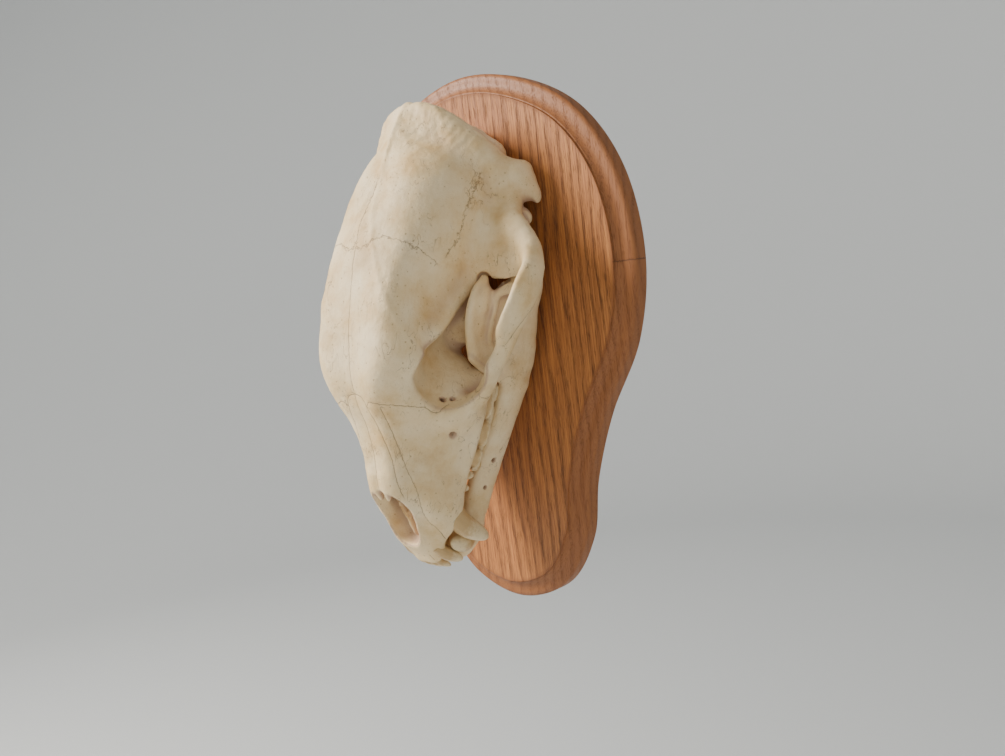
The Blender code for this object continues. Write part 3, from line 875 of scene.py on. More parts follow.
@dataclass
class Cranium:
    """The cranium and its cheek arches, worked out on one side and reflected."""

    sections: tuple[Section, ...] = CRANIUM_SECTIONS
    arch: tuple[Bar, ...] = (
        Bar(36, 90, 27, 14, 7), Bar(45, 97, 26, 12, 5.5), Bar(54, 106, 24.5, 9, 4),
        Bar(62, 118, 24, 7, 3.6), Bar(70, 130, 24.5, 6.5, 3.4), Bar(77, 140, 28.5, 9, 3.4),
        Bar(83, 150, 29.5, 10, 3.4), Bar(87, 160, 28, 10.5, 3.4), Bar(88.5, 170, 26, 9.5, 3.6),
        Bar(88, 180, 23.5, 7.5, 4), Bar(83, 190, 21, 5.5, 5), Bar(75, 198, 20.5, 5.5, 6),
        Bar(62, 204, 22, 6, 7))
    arch_overlap: tuple[Bar, ...] = (
        Bar(88, 178, 24, 8, 4.6), Bar(87.6, 168, 27, 9.4, 4.6), Bar(86, 159, 28.5, 9.6, 4.6),
        Bar(83, 151, 30.5, 8.2, 4.5), Bar(79.6, 145, 31.6, 6.4, 4.4),
        Bar(76.4, 139.5, 32, 4.4, 4.2), Bar(73.6, 135, 31, 1.8, 3.8))
    supramastoid_crest: tuple[Bar, ...] = (
        Bar(68, 203, 21, 5, 6), Bar(61, 213, 18, 6, 6.5), Bar(57.5, 224, 16, 7, 7),
        Bar(59, 236, 13, 6.5, 6))
    cheek_process: Stations = (
        (56.5, 110, 27, 4), (59, 113.5, 34, 3), (60, 115.5, 39, 1.8), (60.2, 116.5, 41.5, 1))
    nuchal_crest: tuple[Bar, ...] = (
        Bar(0, 277, 54, 4.5, 3.8), Bar(10, 277, 54, 5, 3.8), Bar(22, 273, 50, 5.5, 3.6),
        Bar(32, 266, 43, 5, 3.6), Bar(43, 256, 34, 5, 3.6), Bar(52, 246, 24, 4.5, 3.4),
        Bar(58, 241, 14, 4, 3.4), Bar(60, 237, 9, 4, 3.6))
    crest_foot: tuple[Bar, ...] = (
        Bar(0, 268, 51, 8, 8), Bar(22, 263, 47, 8.5, 8.5), Bar(38, 250, 37, 8.5, 8.5),
        Bar(50, 239, 25, 8, 8))
    sagittal_crest: tuple[Bar, ...] = (
        Bar(0, 196, 78, 5, 3), Bar(0, 221, 69, 4.5, 1.8), Bar(0, 248, 64.5, 4.5, 1.4),
        Bar(0, 262, 61.5, 4.5, 1.4), Bar(0, 279, 54, 4, 2))
    postorbital: tuple[Bar, ...] = (
        Bar(32, 117, 68, 7, 8), Bar(40, 119, 62, 4.4, 5.4), Bar(47, 121, 56.5, 1.6, 1.8))
    brow: Stations = (
        (43, 173, 26, 2.4), (39.5, 164, 31.5, 3), (38, 155, 37.5, 3.4), (39, 146, 44.5, 3.6),
        (39.5, 137, 52, 3.4), (37, 128, 60, 3))
    brow_foot: Stations = (
        (37, 171, 31, 5.5), (32.5, 163, 37, 7), (30.5, 154, 43.5, 8), (31, 145, 50.5, 8),
        (31.5, 136, 57.5, 7.5), (30, 127, 64, 6))
    pterygoid: tuple[Bar, ...] = (
        Bar(17, 126, 17, 7, 2.4), Bar(15, 140, 13, 6, 1.8), Bar(14, 156, 10, 7, 1.8),
        Bar(14, 166, 11, 4, 1.4))
    tooth_wall: tuple[Bar, ...] = (
        Bar(27, 50, 10.4, 4.2, 4.2), Bar(31.3, 66, 10.2, 4.4, 4.8), Bar(34.6, 82, 10.2, 4.6, 6.2),
        Bar(37, 102, 10.2, 4.8, 6.6), Bar(36.5, 115, 11.5, 4, 6))
    aperture: tuple[Bar, ...] = (
        Bar(0, 8, 39, 15, 8.5), Bar(0, 13, 40, 17.5, 13), Bar(0, 19, 41.5, 19.5, 16),
        Bar(0, 25, 43.5, 20.5, 16.5))
    nasal_cavity: tuple[Bar, ...] = (
        Bar(0, 18, 28, 13, 12), Bar(0, 34, 30, 13, 11.5), Bar(0, 48, 31, 10, 9.5),
        Bar(0, 62, 32, 5, 5))
    nasal_tip: tuple[Bar, ...] = (
        Bar(4.6, 50, 51.5, 3, 4), Bar(4.6, 42, 48, 2.4, 3.4), Bar(3.4, 36.5, 45, 1, 1.8))
    shelf: Stations = (
        (34, 197, 31, 25, 12), (50, 195, 26, 22, 8.5), (62, 193, 21.5, 20, 6),
        (74, 190, 20, 15, 5), (84, 184, 22.5, 8, 5))
    seams: tuple[Seam, ...] = (
        Seam(((0, 44, 51), (0, 62, 57), (0, 78, 64), (0, 90, 72), (0, 97, 76)), 0.3, False),
        Seam(((0, 97, 76), (0, 122, 83), (0, 148, 85.5), (0, 186, 86)), 0.5, False),
        Seam(((0, 186, 86), (0, 205, 82), (0, 225, 73)), 1.0, False),
        Seam(((0, 97, 76), (4, 96.5, 76), (7, 95, 75), (9, 91, 71), (11, 78, 63), (12.5, 62, 53),
              (12.5, 50, 48), (12.5, 41, 42)), 0.3),
        Seam(((19, 90, 70), (18, 77, 59), (17.5, 62, 49), (16.5, 52, 42), (17, 42, 34),
              (19.5, 32, 26), (21.5, 22, 19), (20.5, 16, 13)), 0.4),
        Seam(((9, 91, 71), (13, 94, 73), (19, 93, 71), (25, 94, 66), (30, 94, 58), (35, 93, 51)),
             0.7),
        Seam(((35, 93, 51), (38, 90, 44), (39.5, 95, 37)), 0.5),
        Seam(((0, 187, 86), (3, 183, 86), (10, 184, 85), (16, 188, 84), (22, 189, 81),
              (30, 187, 79), (37, 184, 73), (41, 181, 66), (42, 177, 59)), 2.4),
        Seam(((43, 183, 52), (47, 194, 47), (49, 208, 45), (49.5, 222, 40), (50, 234, 36)), 2.6),
        Seam(((74, 134, 28.5), (79, 143, 27), (83, 150, 24.5), (86, 158, 20), (88, 166, 17)), 0.2),
        Seam(((57, 109, 33), (53, 105, 28), (52, 104, 22), (54, 106, 16)), 0.8))
    temporal_line: tuple[Point, ...] = (
        (44, 121, 60), (40, 130, 70), (34, 143, 79), (26, 160, 84.5), (17, 180, 86), (9, 200, 83),
        (4, 218, 76), (2, 236, 71))
    temple: Lump = Lump((56, 145, 33), (28, 30, 17))
    temple_wall: Lump = Lump((23, 157, 17), (12, 23, 13))
    canine_swell: Lump = Lump((24, 40, 19), (6.5, 15, 13))
    ear_region: tuple[Lump, ...] = (
        Lump((58, 238, 14), (7, 9, 8)), Lump((49, 227, 17), (11, 17, 12)),
        Lump((57, 199, 12), (13, 4, 8)), Lump((31, 222, 9), (15, 17, 7)))
    processes: tuple[Lump, ...] = (
        Lump((62.5, 233, 9.5), (6.5, 10, 7.5), 25), Lump((67, 228, 5.5), (3, 6, 3.6), 35),
        Lump((62, 243, 12), (4, 4, 5)), Lump((40, 254, 17), (6, 7, 8.5)),
        Lump((57, 216, 7), (6.5, 4.4, 6)), Lump((61, 213, 4.5), (3, 3, 3)),
        Lump((19, 264, 19), (9, 10, 9.5)))
    orbit: Lump = Lump((49, 112, 45), (21.5, 20.5, 20))
    coronoid_room: Lump = Lump((51, 172, 26.5), (4.6, 5.2, 4.6))
    spine_hole: Lump = Lump((0, 276, 25), (11, 18, 8.5))
    palate_slit: Lump = Lump((4.5, 22, 8), (2.2, 6, 5))
    holes: tuple[Stations, ...] = (
        ((41, 69, 23, 1.4), (35, 77, 25, 1.8), (29, 88, 28, 1.8)),
        ((36, 99, 37, 1.6), (30, 96.5, 35.5, 1.7), (22, 92, 34, 1.6)),
        ((39, 100, 32, 1.2), (33, 96, 31, 1.4), (28, 93, 30, 1.2)),
        ((64, 212, 13, 2.6), (46, 214, 17, 2.2)))
    septum: tuple[Bar, ...] = (
        Bar(0, 16, 17, 3, 1.2), Bar(0, 24, 20, 6, 1.1), Bar(0, 36, 25, 11, 1),
        Bar(0, 60, 30, 12, 1.2))
    scrolls: Stations = ((5.4, 25), (8.2, 30))
    rough_back: tuple[float, float] = (232, 268)
    waves: tuple[Wave, ...] = (Wave(7, 3, 0.22, 0.12), Wave(2.6, 5, 0.12, 0.25))
    line_height: float = 0.55
    line_width: float = 2.2
    seam_depth: float = 0.22
    seam_width: float = 0.7
    step: float = 1.21

    def loft(self) -> Loft:
        """The braincase, face and snout: each section's half outline, blended along s."""
        rows = smooth_path(self.sections, 6)
        outlines = []
        for row in rows:
            part = Section(*row)
            half = [(part.roof_x, part.roof_h), (part.edge_x, part.edge_h),
                    (part.side_x, part.side_h), (part.base_x, part.base_h)]
            corners = [(0, part.crown), *half, (0, part.floor), *[(-x, h) for x, h in half[::-1]]]
            outlines.append(smooth_path(corners, 7, closed=True)[:5 * 7 + 1])
        return Loft(rows[:, 0], np.array(outlines))

    def block(self) -> BoneBlock:
        """Build up and hollow out one side of the bone, then reflect it."""
        bone = BoneBlock((0, -8, -3), (97, 290, 95), self.step)
        bone.add(1, self.loft())
        bone.cut(4, self.temple)
        bone.add(6, self.temple_wall)
        bone.add(9, self.canine_swell)
        bone.add(7, Sweep(self.arch), Slab(self.shelf))
        bone.add(1.2, Sweep(self.arch_overlap))
        bone.add(3, Tube(self.cheek_process))
        bone.add(4, Sweep(self.postorbital), Sweep(self.tooth_wall))
        bone.add(6, Tube(self.brow_foot), Tube(self.brow))
        self.add_back(bone)
        bone.add(3, Sweep(self.pterygoid))
        self.hollow(bone)
        self.line_nose(bone)
        bone.mirror()
        return bone

    def add_back(self, bone: BoneBlock) -> None:
        """The crests, the mastoid and paroccipital processes, bulla, ear and condyle."""
        bone.add(8, Sweep(self.nuchal_crest), Sweep(self.crest_foot))
        bone.add(4, Sweep(self.sagittal_crest))
        bone.add(7, Sweep(self.supramastoid_crest), *self.ear_region)
        bone.add(3, *self.processes)

    def hollow(self, bone: BoneBlock) -> None:
        """Orbit, temple, foramina, ear hole, palate slits and the hole for the spine."""
        bone.cut(3, self.orbit)
        bone.cut(1, self.coronoid_room)
        bone.cut(2, self.spine_hole, self.palate_slit)
        bone.cut(1.2, *map(Tube, self.holes))

    def line_nose(self, bone: BoneBlock) -> None:
        """Open the nose and put the septum and the scrolls of thin bone inside it."""
        bone.cut(1.5, Sweep(self.aperture))
        bone.cut(2, Sweep(self.nasal_cavity))
        bone.add(1.5, Sweep(self.nasal_tip))
        bone.add(1, Sweep(self.septum))
        for x, h in self.scrolls:
            bone.add(1.2, Sweep((Bar(x + 1.4, 40, h - 3, 1.6, 1.2), Bar(x, 46, h, 2.8, 1.3),
                                 Bar(x, 60, h + 2, 2.8, 1.3))))

    def build(self) -> bpy.types.Object:
        """Draw the surface, roughen it as bone is and put it in the room."""
        points, faces, normals, values = draw(self.block(), self.seams)
        ridge = seam_values(points, normals, (Seam(self.temporal_line),))["seam"]
        rise = (self.line_height * np.exp(-(ridge / self.line_width) ** 2)
                - self.seam_depth * np.exp(-(values["seam"] / self.seam_width) ** 2)
                + unevenness(points, self.waves, smooth_step(points[:, 1], *self.rough_back)))
        points = points + rise[:, None] * normals
        return make_mesh("cranium_bone", POSE.to_room(points), faces, values)


class Jaw(NamedTuple):
    """A section of the half jaw: middle, top and bottom, and half thickness above and below."""

    s: float
    x: float
    top: float
    bottom: float
    upper_half: float
    lower_half: float


JAW_SECTIONS = (
    Jaw(2, 7, -8, -16, 6, 5), Jaw(6, 8, -6, -20, 8, 7), Jaw(14, 10, -5.5, -23, 9.5, 8.5),
    Jaw(26, 12, -6, -25, 9, 8), Jaw(40, 16, -6, -26, 7, 7), Jaw(60, 23, -6, -25.5, 5.5, 6),
    Jaw(80, 30, -6, -25, 5.5, 6), Jaw(98, 36, -6, -25.5, 5.5, 6), Jaw(108, 39.5, -5, -26, 5.5, 6),
    Jaw(114, 42.6, -1.5, -26, 4.6, 5.5), Jaw(119, 44, 14, -25.5, 4.2, 5.5),
    Jaw(123, 46, 28, -25, 3.6, 5), Jaw(129, 48, 32, -24, 2.6, 6.5),
    Jaw(138, 50, 35.5, -22, 2.4, 7.5),
    Jaw(150, 52, 37, -18, 2.2, 10.5), Jaw(159, 53.5, 34.5, -15, 2, 12),
    Jaw(166, 55, 28, -13.5, 2, 14), Jaw(171, 56.5, 20, -12, 2.4, 14.5),
    Jaw(175, 58, 12.5, -11, 3, 13), Jaw(184, 59, 8.5, -9, 4, 10), Jaw(190, 60, 3, -5.5, 4, 4),
)


@dataclass
class Mandible:
    """The lower jaw, in two halves that meet at the chin."""

    sections: tuple[Jaw, ...] = JAW_SECTIONS
    fullness: float = 0.7
    condyle: tuple[Bar, ...] = (Bar(46, 187, 5, 5, 5), Bar(60, 184.5, 3.5, 6, 6),
                                Bar(71, 182.5, 3, 4.5, 5))
    front_ridge: Stations = (
        (44.6, 115.5, 0, 2), (45.2, 119, 12, 2.8), (46.2, 124, 22, 3.3), (47.8, 131, 29, 3.3),
        (49.6, 143, 33.8, 2.9), (51.2, 154, 35.8, 2.4), (51.4, 165, 33.2, 2.1),
        (50.6, 173, 26.6, 1.8))
    tip: Stations = (
        (53.2, 154, 29, 3), (53, 160, 29.4, 3.4), (52.4, 165, 28.4, 3.4), (51.6, 169.5, 27, 2.8),
        (50.8, 173, 26, 1.8))
    inner_ridge: Stations = (
        (56.5, 163, 21, 1.5), (56.6, 155, 21.5, 1.8), (55.6, 145, 22.5, 1.9),
        (53.5, 136, 20.5, 1.8), (50, 128, 12, 1.2))
    neck: Stations = (
        (56, 162, 22, 1.5), (58.5, 164, 21.5, 2.2), (62, 167, 18.5, 3), (65, 170, 13, 4.6),
        (64, 176, 9, 6), (62, 182, 5, 5))
    notch: Stations = ((66, 168, 33, 4.2), (55, 169.5, 20, 3.4))
    holes: tuple[Stations, ...] = (
        ((40, 63, -15, 1.3), (31, 65, -15, 1.3), (23, 68, -14, 1.2)),
        ((36, 45, -15, 1.3), (27, 47, -15, 1.2), (17, 50, -14, 1.1)),
        ((34, 54, -12, 0.9), (27, 55, -12, 0.8)))
    chin: Lump = Lump((14, 22, -14), (7, 12, 9))
    muscle_hollow: Lump = Lump((75, 148, 14), (19, 24, 22))
    midline: Lump = Lump((-199.8, 90, 0), (200, 400, 400))
    waves: tuple[Wave, ...] = (Wave(6, 11, 0.2), Wave(2.4, 12, 0.1))
    smooth_chin: tuple[float, float] = (0.3, 3)
    step: float = 0.95

    def loft(self) -> Loft:
        """The body and ramus: at each section an oval, fuller in its corners than an ellipse.

        A point at turn t stands at the mean height plus half the height times sin t, and
        off the middle by the half thickness times cos t to the power of the fullness.
        """
        rows = smooth_path(self.sections, 4)
        turns = np.arange(41) / 40 * 2 * math.pi
        rise = np.sin(turns)
        bulge = signed_power(np.cos(turns), self.fullness)
        outlines = []
        for row in rows:
            part = Jaw(*row)
            thick = part.lower_half + (part.upper_half - part.lower_half) * (rise + 1) / 2
            h = (part.top + part.bottom) / 2 + (part.top - part.bottom) / 2 * rise
            outlines.append(np.stack((part.x + thick * bulge, h), axis=1))
        return Loft(rows[:, 0], np.array(outlines))

    def block(self) -> BoneBlock:
        """Build up and hollow out the left half."""
        bone = BoneBlock((-3, -4, -31), (84, 198, 48), self.step)
        bone.add(1, self.loft())
        bone.add(4, Sweep(self.condyle), self.chin)
        bone.cut(6, self.muscle_hollow)
        bone.cut(1.5, Tube(self.notch))
        bone.add(2.5, Tube(self.neck), Tube(self.front_ridge), Tube(self.tip),
                 Tube(self.inner_ridge))
        bone.cut(0.8, *map(Tube, self.holes))
        bone.cut(0.5, self.midline)
        return bone

    def build(self) -> dict[Side, bpy.types.Object]:
        """Draw the left half, and the right half as its mirror image."""
        points, faces, normals, values = draw(self.block(), ())
        rise = unevenness(points, self.waves) * smooth_step(points[:, 0], *self.smooth_chin)
        points = points + rise[:, None] * normals
        halves = {}
        for side in Side:
            turned = faces if side is Side.LEFT else faces[:, ::-1]
            halves[side] = make_mesh(f"mandible_bone_{side.name.lower()}",
                                     POSE.to_room(points * (side.value, 1, 1)), turned, values)
        return halves


class Peg(NamedTuple):
    """An incisor or canine: its buried root, gum line and tip, and half its length and width."""

    root: Point
    neck: Point
    tip: Point
    half_length: float
    half_width: float
    chisel: float = 0.0


class Block(NamedTuple):
    """A cheek tooth: its middle, root and crown height, half sizes, turn in degrees and cusps."""

    x: float
    s: float
    root_h: float
    crown_h: float
    half_length: float
    half_width: float
    turn: float
    cusps: int


@dataclass
class ToothRow:
    """The teeth of one jaw."""

    RINGS = 14
    PROFILE = ((0, 0.74), (0.45, 0.84), (0.62, 0.97), (0.78, 1.0), (0.9, 0.94), (0.96, 0.84),
               (0.98, 0.7), (0.98, 0.54), (0.98, 0.38), (0.98, 0.2), (0.98, 0.03))
    SQUARENESS = 0.8
    CUSP_ENDS = (-0.68, 0.62)
    CUSP_ROWS = ((0.5, 1.5), (-0.5, 0.9))
    name: str
    pegs: tuple[Peg, ...]
    blocks: tuple[Block, ...]
    sides: int = 32

    def peg(self, tooth: Peg) -> tuple[Array, Array]:
        """Rings along a curve from root to tip.

        The size rises to the gum and then falls as the root of 1 - t^1.7. A chisel tooth
        narrows front to back only, so that it ends in an edge.

        Returns:
            The rings and each ring's share of the way from gum to tip.
        """
        axis = smooth_path((tooth.root, tooth.neck, tooth.tip), self.RINGS)
        share = (np.arange(len(axis)) - self.RINGS) / self.RINGS
        crown = np.clip(share, 0, 1)
        taper = np.where(share < 0, 0.8 + 0.2 * (share + 1), np.sqrt(1 - 0.995 * crown ** 1.7))
        wide = np.where(share < 0, taper, taper + tooth.chisel * 0.35 * crown * taper)
        run = unit_rows(np.gradient(axis, axis=0))
        side = unit_rows(np.cross(run, (1.0, 0.0, 0.0)))
        turns = full_turn(self.sides)[None, :, None]
        ripple = 1 + 0.02 * np.sin(9 * turns + 5 * share[:, None, None])
        rings = (axis[:, None] + ripple
                 * (tooth.half_length * taper[:, None, None] * np.cos(turns) * side[:, None]
                    + tooth.half_width * wide[:, None, None] * np.sin(turns)
                    * np.cross(run, side)[:, None]))
        return rings, crown

    def block(self, tooth: Block) -> tuple[Array, Array]:
        """Rings up the side of a squared oval crown and in over its table.

        Cusps stand in two rows along the table, outer ones higher. Each adds its height
        times e to the power of minus the squared distance from its middle.
        """
        levels = smooth_path(self.PROFILE, 3)
        turn = math.radians(tooth.turn)
        along = np.array((math.sin(turn), math.cos(turn), 0.0))
        across = np.array((math.cos(turn), -math.sin(turn), 0.0))
        turns = full_turn(self.sides)
        u, v = (levels[:, 1, None] * signed_power(wave, self.SQUARENESS)
                for wave in (np.cos(turns), np.sin(turns)))
        rings = (np.array((tooth.x, tooth.s, 0.0)) + tooth.half_length * u[..., None] * along
                 + tooth.half_width * v[..., None] * across)
        relief = np.zeros_like(u)
        for place in np.linspace(*self.CUSP_ENDS, tooth.cusps):
            for row, height in self.CUSP_ROWS:
                spread = 0.75 / tooth.cusps
                relief += height * np.exp(-((u - place) / spread) ** 2 - ((v - row) / 0.34) ** 2)
        table = smooth_step(levels[:, 0], 0.6, 0.95)[:, None]
        up = math.copysign(1, tooth.crown_h - tooth.root_h)
        height = tooth.root_h + levels[:, 0] * (tooth.crown_h - tooth.root_h)
        rings[..., 2] = height[:, None] + up * table * (relief - 0.9)
        return rings, np.clip((levels[:, 0] - 0.5) * 2, 0, 1)

    def build(self) -> bpy.types.Object:
        """Make both sides' teeth as one piece."""
        points, faces, crown, start = [], [], [], 0
        for rings, share in (*map(self.peg, self.pegs), *map(self.block, self.blocks)):
            for side in Side:
                tooth_points, tooth_faces = ring_surface(rings * (side.value, 1, 1))
                points.append(tooth_points)
                faces.append(tooth_faces + start)
                crown.append(np.concatenate((np.repeat(share, rings.shape[1]), share[[0, -1]])))
                start += len(tooth_points)
        return make_mesh(self.name, POSE.to_room(np.vstack(points)), np.vstack(faces),
                         {"crown": np.concatenate(crown)})


UPPER_TEETH = ToothRow(
    "upper_teeth",
    (Peg((3.0, 4, 12), (3.1, -1.0, 4), (3.2, -4.2, -4.6), 2.4, 2.2, 1),
     Peg((8.4, 5, 12), (8.9, -0.2, 4), (9.3, -3.4, -5.2), 2.6, 2.4, 1),
     Peg((14.0, 9, 13), (15.8, 5.0, 5.0), (17.4, 1.8, -7.6), 4.2, 3.8, 0.3),
     Peg((24.5, 40, 18), (26.5, 25.5, 5), (27.5, 16.5, -18.5), 7.2, 5.2),
     Peg((26.6, 47, 12), (26.8, 47, 7), (27.0, 46.5, 1.6), 2.6, 2.3),
     Peg((28.6, 55, 12), (28.8, 55, 7), (29.0, 55, 0.6), 3.0, 2.6)),
    (Block(31.7, 66, 9, 0.0, 6.4, 4.4, 18, 3), Block(35.2, 81.5, 9, -0.2, 8.6, 6.0, 14, 4),
     Block(37.2, 101.8, 10, 0.2, 11.8, 6.1, 2, 6)))
LOWER_TEETH = ToothRow(
    "lower_teeth",
    (Peg((2.6, 10, -13), (2.8, 6, -7), (2.8, 4.6, -1.8), 2.2, 1.9, 1),
     Peg((6.8, 10, -13), (7.4, 6, -7), (7.6, 4.8, -1.8), 2.4, 2.1, 1),
     Peg((11.0, 11, -13), (11.6, 7, -7), (11.8, 6.0, -2.2), 2.5, 2.2, 1),
     Peg((13.5, 24, -16), (18.6, 13.6, -7), (20.6, 11.6, 6.5), 6.6, 5.2)),
    (Block(24.5, 62, -12, -1.2, 4.6, 2.8, 18, 1), Block(27.4, 75.5, -12, -1.0, 8.4, 3.8, 16, 3),
     Block(31.4, 92.5, -12, -1.0, 9.0, 5.0, 12, 3), Block(35.0, 107.5, -10, -1.6, 6.4, 4.4, 12, 2)))


@dataclass
class Plaque:
    """The oak board: a pear outline with a moulded edge.

    Attributes:
        half_outline: Places (x, z) down the right side, in millimetres.
        edge: The moulding as depth from the wall and inset from the outline.
    """

    half_outline: tuple[tuple[float, float], ...] = (
        (0, 177), (48, 167.5), (91, 143), (119, 102), (128, 50), (118, 0), (92, -45), (75, -88),
        (66.5, -127), (42, -161), (0, -174.5))
    edge: tuple[tuple[float, float], ...] = (
        (0.0, 0.6), (0.6, 0.0), (4.5, 0.0), (8.2, 0.0), (9.4, 0.5), (10.3, 1.6), (10.8, 3.2),
        (11.0, 5.0), (11.3, 6.8), (12.0, 8.6), (13.1, 10.2), (14.4, 11.4), (14.5, 12.0),
        (15.9, 12.3), (16.0, 12.6))
    points_round: int = 480

    def outline(self) -> tuple[Array, Array]:
        """Points evenly round the outline, and the outward direction at each."""
        right = list(self.half_outline)
        loop = smooth_path(right + [(-x, z) for x, z in right[-2:0:-1]], 16, closed=True)
        ring = np.vstack((loop, loop[:1]))
        along = np.concatenate(([0], np.cumsum(np.linalg.norm(np.diff(ring, axis=0), axis=1))))
        stops = np.arange(self.points_round) / self.points_round * along[-1]
        loop = np.stack([np.interp(stops, along, axis) for axis in ring.T], axis=1)
        run = unit_rows(np.roll(loop, -3, axis=0) - np.roll(loop, 3, axis=0))
        outward = np.stack((-run[:, 1], run[:, 0]), axis=1)
        return loop, outward * np.sign((outward * loop).sum())

    def build(self) -> bpy.types.Object:
        """Rings over the back, round the moulding and in over the face."""
        loop, outward = self.outline()
        rings = [np.insert(loop * share, 1, 0.0, axis=1) for share in (0.02, 0.5, 0.98)]
        rings += [np.insert(loop - outward * inset, 1, -depth, axis=1)
                  for depth, inset in smooth_path(self.edge, 3)]
        rim = len(rings)
        rings += [rings[-1] * (share, 1, share) for share in np.linspace(0.985, 0.02, 24)]
        points, faces = ring_surface(np.array(rings))
        on_rim = np.zeros(len(points))
        on_rim[:rim * self.points_round] = 1
        return make_mesh("oak_plaque", points * MM, faces, {"rim": on_rim})


@dataclass(frozen=True)
class BoneFinish:
    """Cleaned, dry bone: cream, warmer in patches, with painted shade, a dull pink darkening, in
    the hollows.
    """

    pale: Point = (0.92, 0.74, 0.46)
    cream: Point = (0.85, 0.64, 0.35)
    warm: Point = (0.72, 0.47, 0.20)
    # Painted shade: the dull pink that darkens the bone where it is closed in.
    hollow: Point = (0.52, 0.33, 0.22)
    stain: Point = (0.50, 0.32, 0.14)
    seam: Point = (0.27, 0.17, 0.10)

    def material(self) -> bpy.types.Material:
        """Patches, stains, pores, hairline cracks and sutures over the bone, and painted shade in
        its hollows.
        """
        shader = Shader("bone")
        places = shader.moved(shader.places(), tuple(part * MM for part in POSE.snout),
                              (90 - POSE.tilt, 0, 0), (MM, MM, MM), "TEXTURE")
        # Painted shade: how closed in each point is, which darkens the colour below.
        hollow = shader.attribute("hollow")
        colour = shader.ramp(shader.noise(places, 0.04, 4, 0.55),
                             ((0.3, self.warm), (0.48, self.cream), (0.66, self.pale)))
        streaks = shader.noise(places, 1.0, 5, 0.65, (0.5, 0.09, 0.5))
        colour = shader.mix(streaks.step(0.5, 0.8) * 0.35, colour, self.warm)
        stains = shader.noise(places, 0.025, 5, 0.6).step(0.55, 0.75)
        colour = shader.mix(stains * 0.42, colour, self.stain)
        # Painted shade: darken closed-in places such as the orbit, nose and fossae by the hollow
        # attribute.
        colour = shader.mix(hollow.step(0.04, 0.4) * 0.8, colour, self.hollow)
        pore_patch = shader.noise(places, 0.09, 2).step(0.42, 0.62)
        pores = shader.cells(places, 0.75).step(0.2, 0.06) * pore_patch
        fine = shader.cells(places, 1.9).step(0.22, 0.08)
        specks = shader.cells(places, 0.22).step(0.13, 0.05)
        colour = shader.mix(pores * 0.6 + fine * 0.16, colour, self.stain)
        colour = shader.mix(specks * 0.6, colour, self.stain)
        web = abs(shader.noise(places, 0.11, 3, 0.6, (1, 0.4, 1)) - 0.5)
        cracks = web.step(0.006, 0.002) * shader.noise(places, 0.035).step(0.5, 0.6)
        colour = shader.mix(cracks * 0.55, colour, self.seam)
        seams = self.seams(shader, places)
        colour = shader.mix(seams * 0.6, colour, self.seam)
        grain = shader.noise(places, 1.6, 3, 0.7)
        normal = shader.bump(shader.noise(places, 0.28, 4, 0.6) * 0.6 + grain * 0.25, 0.0006)
        height = 1 - pores * 0.7 - fine * 0.25 - specks - seams * 1.2 - cracks * 0.6
        return shader.dress(base_color=colour, roughness=0.5 + 0.2 * grain,
                            normal=shader.bump(height, 0.0003, normal))

    def seams(self, shader: Shader, places: Any) -> Value:
        """One on a suture: where its distance, pushed to and fro by noise, is near zero."""
        push = (shader.noise(places, 0.42, 3, 0.7) - 0.5) * shader.attribute("seam_zigzag") * 3.6
        line = abs(shader.attribute("seam") + push).step(0.34, 0.08)
        return line * shader.attribute("seam_near").step(0.2, 0.5)


@dataclass(frozen=True)
class EnamelFinish:
    """Old enamel, yellow at the gum."""

    tip: Point = (0.84, 0.66, 0.38)
    gum: Point = (0.60, 0.39, 0.17)
    crack: Point = (0.45, 0.32, 0.18)

    def material(self) -> bpy.types.Material:
        """Enamel that yellows towards the gum, with fine upright cracks."""
        shader = Shader("enamel")
        places = shader.millimetres()
        patches = shader.noise(places, 0.35, 3, 0.6)
        crown = shader.attribute("crown") + (patches - 0.5) * 0.8
        colour = shader.mix(crown.step(0.0, 0.6), self.gum, self.tip)
        web = abs(shader.noise(places, 0.8, 2, 0.5, (1, 1, 0.25)) - 0.5)
        cracks = web.step(0.012, 0.003)
        colour = shader.mix(cracks * 0.5, colour, self.crack)
        return shader.dress(base_color=colour, roughness=0.28 + 0.15 * patches,
                            normal=shader.bump(patches - cracks * 0.4, 0.0003))


